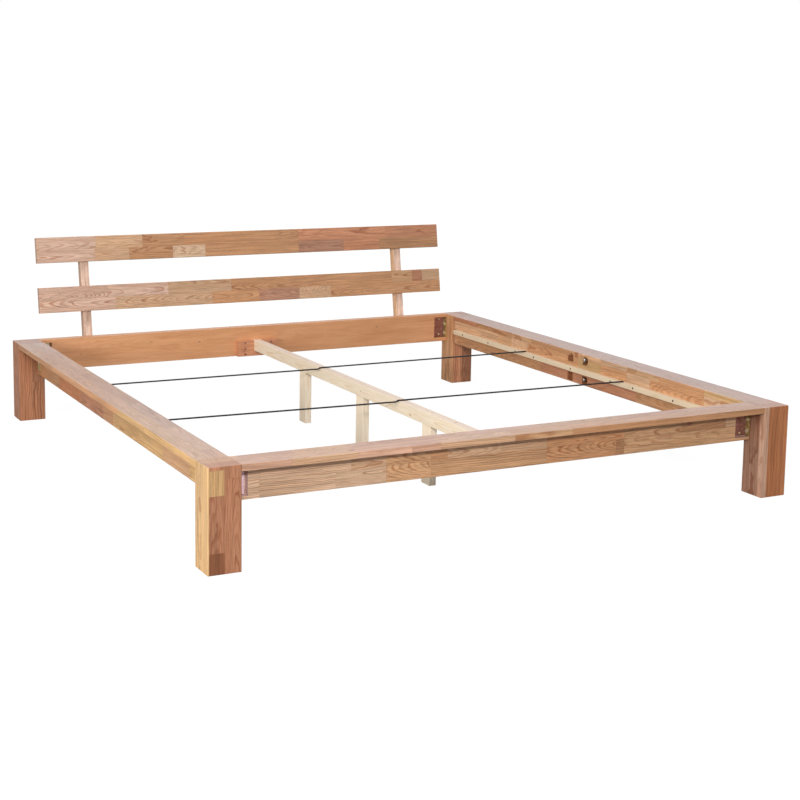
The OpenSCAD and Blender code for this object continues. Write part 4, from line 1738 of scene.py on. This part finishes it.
FOOT_RAIL_STAVES = {
    "rail_foot_web": (
        row(ALL, HIGH, (-823, BLOND, 1, STRAIGHT, 1.2), (-542, BLOND, 1, STRAIGHT, 1.7),
            (-430, SAND, 1.05, FLAMED), (-284, HONEY, 1.08, CATHEDRAL, 1.2),
            (-229, COPPER, 1.08, FLAMED, 0.8), (-45, SAND, 1.08, CURLED),
            (117, SAND, 1.08, FLAMED, 1.3), (403, COPPER, 1.2, CURLED, 1.3),
            (625, HONEY, 1, FLAMED, 1.3), (801, COPPER, 0.9, CURLED, 1.4), (903, SAND)),
        row(ALL, LOW, (-823, BLOND, 1, STRAIGHT, 1.2), (-590, BLOND, 0.98, STRAIGHT, 1.6),
            (-430, BLOND, 0.95, CURLED, 1.2), (-284, HONEY, 1.15, CATHEDRAL, 1.2),
            (117, HONEY, 1.05, STRAIGHT, 1.2), (372, COPPER, 1.16, CATHEDRAL, 1.3),
            (403, COPPER, 0.86, FLAMED), (903, HONEY, 1.02, FLAMED, 1.1)),
    ),
    "rail_foot_cap": (
        row((0, 0.54), ALL, (-755, ROSE, 1, CURLED), (-555, SAND, 1.05, FLAMED),
            (-384, ROSE, 1.12, STRAIGHT, 0.8), (-291, ROSE, 1.05, FLAMED),
            (-40, SAND, 1.02, FLAMED), (165, HONEY, 1.02), (470, COPPER, 1.08, FLAMED),
            (903, COPPER, 1, FLAMED, 0.9)),
        row((0.54, 1), ALL, (-880, SAND), (-720, ROSE, 0.92, FLAMED, 0.8),
            (-545, SAND, 1.05, CATHEDRAL), (-170, ROSE, 0.95, FLAMED), (90, ROSE),
            (380, SAND, 0.9, CATHEDRAL, 1.1), (640, MAUVE, 1.1, FLAMED), (903, ROSE, 1, FLAMED)),
    ),
}

WEB_STAVES = {
    "rail_right_foot_web": (
        row(ALL, HIGH, (-903, COPPER), (-815, SAND, 1, FLAMED), (-509, COPPER, 1.12, CATHEDRAL),
            (-368, SAND, 0.96), (-205, COPPER, 1.1, FLAMED), (-51, OLIVE, 1.02)),
        row(ALL, LOW, (-729, COPPER, 1.1, CATHEDRAL), (-430, COPPER, 1, FLAMED),
            (-51, RUSSET, 1.1)),
    ),
    "rail_right_head_web": (
        row(ALL, HIGH, (16, COPPER, 1, FLAMED), (310, COPPER, 1.1, FLAMED),
            (434, SAND, 1.1, CATHEDRAL), (545, HONEY, 1.05), (906, SAND, 1.12, STRAIGHT, 1.2),
            (925, COPPER)),
        row(ALL, LOW, (208, RUSSET, 1.1), (908, COPPER, 1.06, FLAMED), (925, RUSSET)),
    ),
    "rail_left_foot_web": (
        row(ALL, HIGH, (-880, AMBER), (-700, AMBER, 0.94, FLAMED), (-470, SAND, 1, CURLED),
            (-250, AMBER, 1, FLAMED), (-51, COPPER, 1.3)),
        row(ALL, LOW, (-790, AMBER, 1, FLAMED), (-560, HONEY, 1.08), (-330, AMBER),
            (-51, AMBER, 0.95, CURLED)),
    ),
    "rail_left_head_web": (
        row(ALL, HIGH, (150, COPPER, 1.45, FLAMED), (420, COPPER, 1.2), (700, COPPER),
            (925, RUSSET, 1, CURLED)),
        row(ALL, LOW, (60, COPPER, 1.1), (330, RUSSET, 1.1, FLAMED), (610, BRICK, 1.2, CURLED),
            (925, COPPER)),
    ),
}

CAP_STAVES = {
    "rail_right_foot_cap": (
        row(LOW, ALL, (-815, OLIVE, 1.2, FLAMED), (-560, COPPER, 1.1, FLAMED), (-368, HONEY),
            (-205, SAND, 0.95, FLAMED), (-51, HONEY)),
        row(HIGH, ALL, (-800, ROSE), (-560, DUSK, 0.94, FLAMED), (-300, ROSE),
            (-51, DUSK, 0.96, CURLED)),
    ),
    "rail_right_head_cap": (
        row(LOW, ALL, (15, COPPER, 1.1), (283, COPPER, 1, FLAMED), (434, HONEY),
            (725, COPPER, 0.9), (925, RUSSET, 1, FLAMED)),
        row(HIGH, ALL, (180, DUSK, 1, FLAMED), (450, ROSE, 0.94), (700, ROSE, 0.9, CURLED),
            (925, MAUVE, 0.86, FLAMED)),
    ),
    "rail_left_foot_cap": (
        row(LOW, ALL, (-860, AMBER, 1.05, FLAMED, 0.6), (-590, AMBER, 1, FLAMED, 0.7),
            (-330, AMBER, 0.96, FLAMED, 0.7), (-51, COPPER, 1.25, FLAMED, 0.7)),
        row(HIGH, ALL, (-930, ROSE), (-640, BLOND, 1, FLAMED, 0.6), (-270, DUSK, 0.8, FLAMED, 0.7),
            (-51, MAUVE, 0.8, STRAIGHT, 0.6)),
    ),
    "rail_left_head_cap": (
        row(LOW, ALL, (160, COPPER, 1.3, FLAMED, 0.7), (460, COPPER, 1.2, FLAMED, 0.7),
            (925, COPPER, 1.05, FLAMED, 0.8)),
        row(HIGH, ALL, (260, MAUVE, 0.8, FLAMED, 0.7), (600, SAND, 1, FLAMED, 0.6),
            (925, DUSK, 1.08, FLAMED, 0.6)),
    ),
}

HEADBOARD_STAVES = {
    # The pale BLUSH staves at the planks' left ends are partly the wood's tone and partly a
    # painted reflection of a cool light lying on that end.
    "headboard_plank_upper": (
        row(ALL, HIGH, (-654, BLUSH, 0.86, CURLED, 1.2), (-461, SAND, 0.94, FLAMED),
            (-285, COPPER, 0.86, FLAMED), (134, COPPER, 0.98), (223, COPPER, 0.9, CURLED),
            (635, RUSSET, 1.14, FLAMED), (901, RUSSET, 1.04, FLAMED)),
        row(ALL, LOW, (-660, BLUSH, 0.86, CURLED, 1.2), (-518, SAND, 0.9, FLAMED),
            (-335, COPPER, 0.86, CURLED, 1.2), (-195, BLOND, 0.84, CURLED), (222, COPPER, 0.95),
            (432, MAUVE, 0.92, CURLED), (604, RUSSET, 1.14), (901, COPPER, 0.84)),
    ),
    "headboard_plank_lower": (
        row(ALL, HIGH, (-616, BLUSH, 0.85, CATHEDRAL, 1.4), (-363, BLUSH, 0.88, CURLED, 1.1),
            (-91, SAND, 0.82, FLAMED), (344, COPPER, 0.94, CURLED),
            (654, COPPER, 0.98, STRAIGHT, 0.8), (755, HONEY, 0.9, FLAMED, 1.3),
            (803, RUSSET, 0.9, FLAMED), (901, SAND, 0.9)),
        row(ALL, LOW, (-585, BLUSH, 0.9, CURLED, 1.3), (-176, SAND, 0.89, CURLED),
            (31, COPPER, 1.04, CURLED), (212, MAUVE, 1, CURLED, 1.1), (360, SAND, 0.94, CATHEDRAL),
            (901, COPPER, 1, CURLED)),
    ),
    "headboard_upright_left": (
        row((0, 0.06), ALL, (700, BLUSH, 0.95, STRAIGHT, 0.8)),
        row((0.06, 1), ALL, (700, SHELL, 0.88, STRAIGHT, 0.8)),
    ),
    "headboard_upright_right": (
        row((0, 0.06), ALL, (700, SAND, 1.5, STRAIGHT, 0.8)),
        row((0.06, 1), ALL, (700, SHELL, 1.3, STRAIGHT, 0.8)),
    ),
}


def whole(*stave: object) -> tuple[Row, ...]:
    """Makes the rows of a board that is one stave."""
    return (row(ALL, ALL, stave),)


# ---- sub-assemblies -----------------------------------------------------------------------------

@dataclass
class Legs:
    """The four square corner legs, each glued from upright staves."""

    ease: float = 2.0
    end_ease: float = 1.0
    # painted sheen on the legs' tops: towards MAUVE on the left foot leg and DUSK on the others
    painted_sheen: float = 0.5

    def build(self) -> None:
        """Builds the four legs."""
        for number, (node, rows) in enumerate(LEG_STAVES.items()):
            Board(node, Z, Y, rows, ease=self.ease, end_ease=self.end_ease, seed=11 + number,
                  painted_sheen_tone=MAUVE if node == "leg_foot_left" else DUSK,
                  painted_sheen=self.painted_sheen).build()


@dataclass
class FootRail:
    """The rail across the foot: an upright web under a leg-wide cap."""

    # The web's pockets take pale SHELL, raw wood lifted by painted light on their shaded walls;
    # the cap's top takes a painted sheen.
    raw_and_painted_light_share: float = 0.8
    painted_sheen: float = 0.3

    def build(self) -> None:
        """Builds the web and the cap."""
        # SHELL in the web's pockets is raw wood lifted by painted light on their shaded walls.
        Board("rail_foot_web", X, Y, FOOT_RAIL_STAVES["rail_foot_web"], square=("+z",), seed=21,
              raw_and_painted_light_tone=SHELL, raw_and_painted_light_share=self.raw_and_painted_light_share).build()
        Board("rail_foot_cap", X, Z, FOOT_RAIL_STAVES["rail_foot_cap"], square=("-z", "+y"),
              seed=22, painted_sheen=self.painted_sheen).build()


@dataclass
class SideRails:
    """The two long rails, each of a foot half and a head half bolted end to end."""

    # Painted sheen on the caps' tops, and how far cut faces take the raw tone: raw wood on the
    # left webs, painted shade on the right.
    left_painted_sheen: float = 0.78
    right_painted_sheen: float = 0.82
    left_rawness: float = 0.6
    right_pocket_painted_shade: float = 0.75

    def build(self) -> None:
        """Builds the webs and the caps."""
        for number, (node, rows) in enumerate(WEB_STAVES.items()):
            right = "right" in node
            # The right webs' pockets and holes are painted dark UMBER as shade; the left webs' are
            # pale raw wood.
            Board(node, Y, X, rows, square=("+z",), seed=51 + number,
                  raw_and_painted_light_tone=UMBER if right else BLOND,
                  raw_and_painted_light_share=self.right_pocket_painted_shade if right else self.left_rawness).build()
        for number, (node, rows) in enumerate(CAP_STAVES.items()):
            right = "right" in node
            # The caps' tops take a painted sheen, DUSK on the right and FAWN on the left.
            Board(node, Y, Z, rows, square=("-z", "-x" if right else "+x"), seed=61 + number,
                  painted_sheen_tone=DUSK if right else FAWN,
                  painted_sheen=self.right_painted_sheen if right else self.left_painted_sheen).build()


@dataclass
class Headboard:
    """The head rail, two leaning planks and the two posts behind them."""

    # The head rail's pockets and holes are painted dark UMBER as shade.
    rail_pocket_painted_shade: float = 0.75

    def build(self) -> None:
        """Builds the planks, the posts and the rail."""
        for number, (node, rows) in enumerate(HEADBOARD_STAVES.items()):
            kind, run_axis = (LeaningBoard, X) if "plank" in node else (Upright, Z)
            kind(node, run_axis, Y, rows, seed=71 + number).build()
        # UMBER in the rail's pockets and holes is painted shade.
        Board("rail_head", X, Y, whole(903, ALDER, 1, FLAMED, 0.9), finish=KNOTTY_BOARD, seed=75,
              raw_and_painted_light_tone=UMBER, raw_and_painted_light_share=self.rail_pocket_painted_shade).build()


@dataclass
class SlatSupports:
    """The beam down the middle with its legs and cleats, and the ledgers along the sides."""

    beam_ease: float = 1.2
    strip_ease: float = 0.8
    # painted sheen of pale SHELL on the beam's top
    beam_painted_sheen: float = 0.3

    def build(self) -> None:
        """Builds the beam, its three legs, the two ledgers and the two cleats."""
        Board("centre_beam", Y, X, whole(1000, CREAM, 1, FLAMED), PINE, "pine", self.beam_ease,
              seed=81, painted_sheen_tone=SHELL, painted_sheen=self.beam_painted_sheen).build()
        for number, end in enumerate(("foot", "middle", "head")):
            Board("centre_leg_" + end, Z, Y, whole(200, CREAM, 1.1, FLAMED), PINE, "pine",
                  self.beam_ease, seed=82 + number).build()
        for number, side in enumerate(("left", "right")):
            Board("ledger_" + side, Y, Z, whole(910, STRAW), PINE, "pine", self.strip_ease,
                  seed=85 + number).build()
        for number, end in enumerate(("foot", "head")):
            Board("cleat_" + end, X, Y, whole(90, RUSSET, 1.3, FLAMED, 0.8),
                  ease=self.strip_ease, seed=87 + number).build()


@dataclass
class Hardware:
    """Screws, bolts, nuts, plates and tie rods.

    A screw's sizes are its head's radius and height, its shank's radius and its length, a bolt's
    begin with its width across the flats, and a nut's are that, its height and its bore's radius.
    """

    sets: tuple[Fasteners, ...] = (
        Fasteners("ledger_screws", Head.COUNTERSUNK, (4, 3, 2, 36), BRONZE),
        Fasteners("cleat_screws", Head.COUNTERSUNK, (4.5, 3.4, 2.25, 42), RED_ZINC_AND_PAINTED_REFLECTION),
        Fasteners("plank_screws", Head.COUNTERSUNK, (4.5, 3.4, 2.25, 50)),
        Fasteners("beam_screws", Head.COUNTERSUNK, (5, 3.8, 2.5, 85)),
        Fasteners("upright_screws", Head.COUNTERSUNK, (6, 4.5, 3, 64)),
        Fasteners("bracket_screws", Head.PAN, (4, 2, 2, 8)),
        Fasteners("corner_bolts", Head.HEXAGON, (13, 5, 4, 51)),
        Fasteners("splice_bolts", Head.HEXAGON, (13, 5, 4, 81.5), SILVER),
        Fasteners("splice_nuts", Head.NUT, (13, 6.5, 4.1), SILVER),
    )

    def build(self) -> None:
        """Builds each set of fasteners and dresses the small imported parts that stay."""
        kinds = {Head.COUNTERSUNK: countersunk_screw(), Head.PAN: pan_screw(),
                 Head.HEXAGON: hexagon_bolt(), Head.NUT: hexagon_nut()}
        for fasteners in self.sets:
            fasteners.build(kinds)
        CornerBrackets().build()
        bar = bar_tree()
        TieRod("tie_rod_foot").build(bar)
        TieRod("tie_rod_head", rises=True).build(bar)
        for node, finish in (("corner_inserts", ZINC), ("splice_half_moons", SILVER),
                             ("corner_dowels", BEECH), ("splice_dowels", BEECH)):
            for slot in frame["nodes"][node].material_slots:
                slot.material = FINISHES.get(finish)


# ---- studio -------------------------------------------------------------------------------------

@dataclass(frozen=True)
class Softbox:
    """A rectangular lamp: where it hangs, what it faces, its size, power and colour."""

    name: str
    place: tuple[float, float, float]
    target: tuple[float, float, float]
    width: float
    height: float
    power: float
    colour: Colour
    mirrored: bool = True

    def hang(self) -> None:
        """Puts the lamp in the scene."""
        data = bpy.data.lights.new(self.name, "AREA")
        data.shape, data.size, data.size_y = "RECTANGLE", self.width, self.height
        data.energy, data.color = self.power, self.colour
        lamp = link_object(self.name, data)
        lamp.location, lamp.visible_glossy = self.place, self.mirrored
        aim = Vector(self.target) - Vector(self.place)
        lamp.rotation_euler = aim.to_track_quat("-Z", "Y").to_euler()


@dataclass
class Studio:
    """Camera, pale floor, white surround and soft lamps, with lengths in metres."""

    camera_place: tuple[float, float, float] = (-2.4111, -4.9211, 1.3471)
    yaw: float = 27.551
    pitch: float = 8.309
    roll: float = 0.93
    lens: float = 69.795
    sensor: float = 36.0
    shift_y: float = -0.125
    far_clip: float = 200.0
    surround: float = 0.30
    floor_size: float = 60.0
    floor_drop: float = 0.0005
    floor_grey: float = 0.34
    floor_glow: float = 0.95
    shadow_part: float = 0.10
    shadow_reach: float = 1.7
    lamps: tuple[Softbox, ...] = (
        Softbox("key", (-5.2, -2.0, 1.4), (-0.8, -0.6, 0.2), 2.0, 1.2, 162.0,
                (1.0, 0.97, 0.90), mirrored=False),
        Softbox("overhead", (-0.3, -0.2, 4.2), (0.0, 0.2, 0.2), 4.0, 4.0, 84.0,
                (0.98, 0.97, 1.06)),
        Softbox("front", (-2.4, -5.8, 2.24), (-0.2, -0.8, 0.25), 1.6, 0.2, 190.0,
                (1.0, 0.97, 0.97), mirrored=False),
    )

    def build(self) -> None:
        """Builds the camera, the floor, the surround and the lamps."""
        self.build_camera()
        self.build_floor()
        self.build_surround()
        for lamp in self.lamps:
            lamp.hang()
        bpy.context.scene.view_settings.view_transform = "Standard"

    def build_camera(self) -> None:
        """Sets the camera where the bed is seen from."""
        data = bpy.data.cameras.new("camera")
        data.sensor_width, data.lens, data.shift_y = self.sensor, self.lens, self.shift_y
        data.clip_end = self.far_clip
        camera = link_object("camera", data)
        camera.matrix_world = (
            Matrix.Translation(self.camera_place)
            @ Matrix.Rotation(math.radians(-self.yaw), 4, "Z")
            @ Matrix.Rotation(math.radians(90.0 - self.pitch), 4, "X")
            @ Matrix.Rotation(math.radians(self.roll), 4, "Z"))
        bpy.context.scene.camera = camera

    def build_floor(self) -> None:
        """Lays the pale floor, white to the camera but for the bed's own soft shadow."""
        half = self.floor_size / 2
        mesh = bpy.data.meshes.new("floor")
        corners = ((-half, -half), (half, -half), (half, half), (-half, half))
        mesh.from_pydata([(x, y, -self.floor_drop) for x, y in corners], [], [(0, 1, 2, 3)])
        made = bpy.data.materials.new("pale_floor")
        made.use_nodes = True
        made.node_tree.nodes.clear()
        w = Wiring(made.node_tree)
        matte, faint = (w.node("ShaderNodeBsdfDiffuse", {"Color": (grey, grey, grey, 1.0)})
                        for grey in (self.floor_grey, self.shadow_part))
        away = w.smooth(w.vector("LENGTH", w.place()), self.shadow_reach, 2 * self.shadow_reach)
        glow = w.node("ShaderNodeEmission", {
            "Color": WHITE,
            "Strength": w.math("MULTIPLY_ADD", away, 1.0 - self.floor_glow, self.floor_glow)})
        lit = w.node("ShaderNodeAddShader", {0: glow.outputs[0], 1: faint.outputs[0]})
        seen = w.node("ShaderNodeLightPath").outputs["Is Camera Ray"]
        blend = w.node("ShaderNodeMixShader", {0: seen, 1: matte.outputs[0], 2: lit.outputs[0]})
        w.node("ShaderNodeOutputMaterial", {"Surface": blend.outputs[0]})
        mesh.materials.append(made)
        floor = link_object("floor", mesh)

    def build_surround(self) -> None:
        """Makes the surround white to the camera, gloss and glass, and softer as a light."""
        world = bpy.data.worlds.new("surround")
        world.use_nodes = True
        bpy.context.scene.world = world
        w = Wiring(world.node_tree)
        path = w.node("ShaderNodeLightPath").outputs
        seen = w.math("MAXIMUM", path["Is Camera Ray"], w.math(
            "MAXIMUM", path["Is Glossy Ray"], path["Is Transmission Ray"]))
        w.fill(world.node_tree.nodes["Background"], {
            "Color": WHITE,
            "Strength": w.math("MULTIPLY_ADD", seen, 1.0 - self.surround, self.surround)})


def main() -> None:
    """Builds the bed frame, its hardware and the studio."""
    logging.basicConfig(level=logging.INFO, format="%(name)s: %(message)s")
    for assembly in (Legs(), FootRail(), SideRails(), Headboard(), SlatSupports(), Hardware(),
                     Studio()):
        assembly.build()


if __name__ == "__main__":
    main()
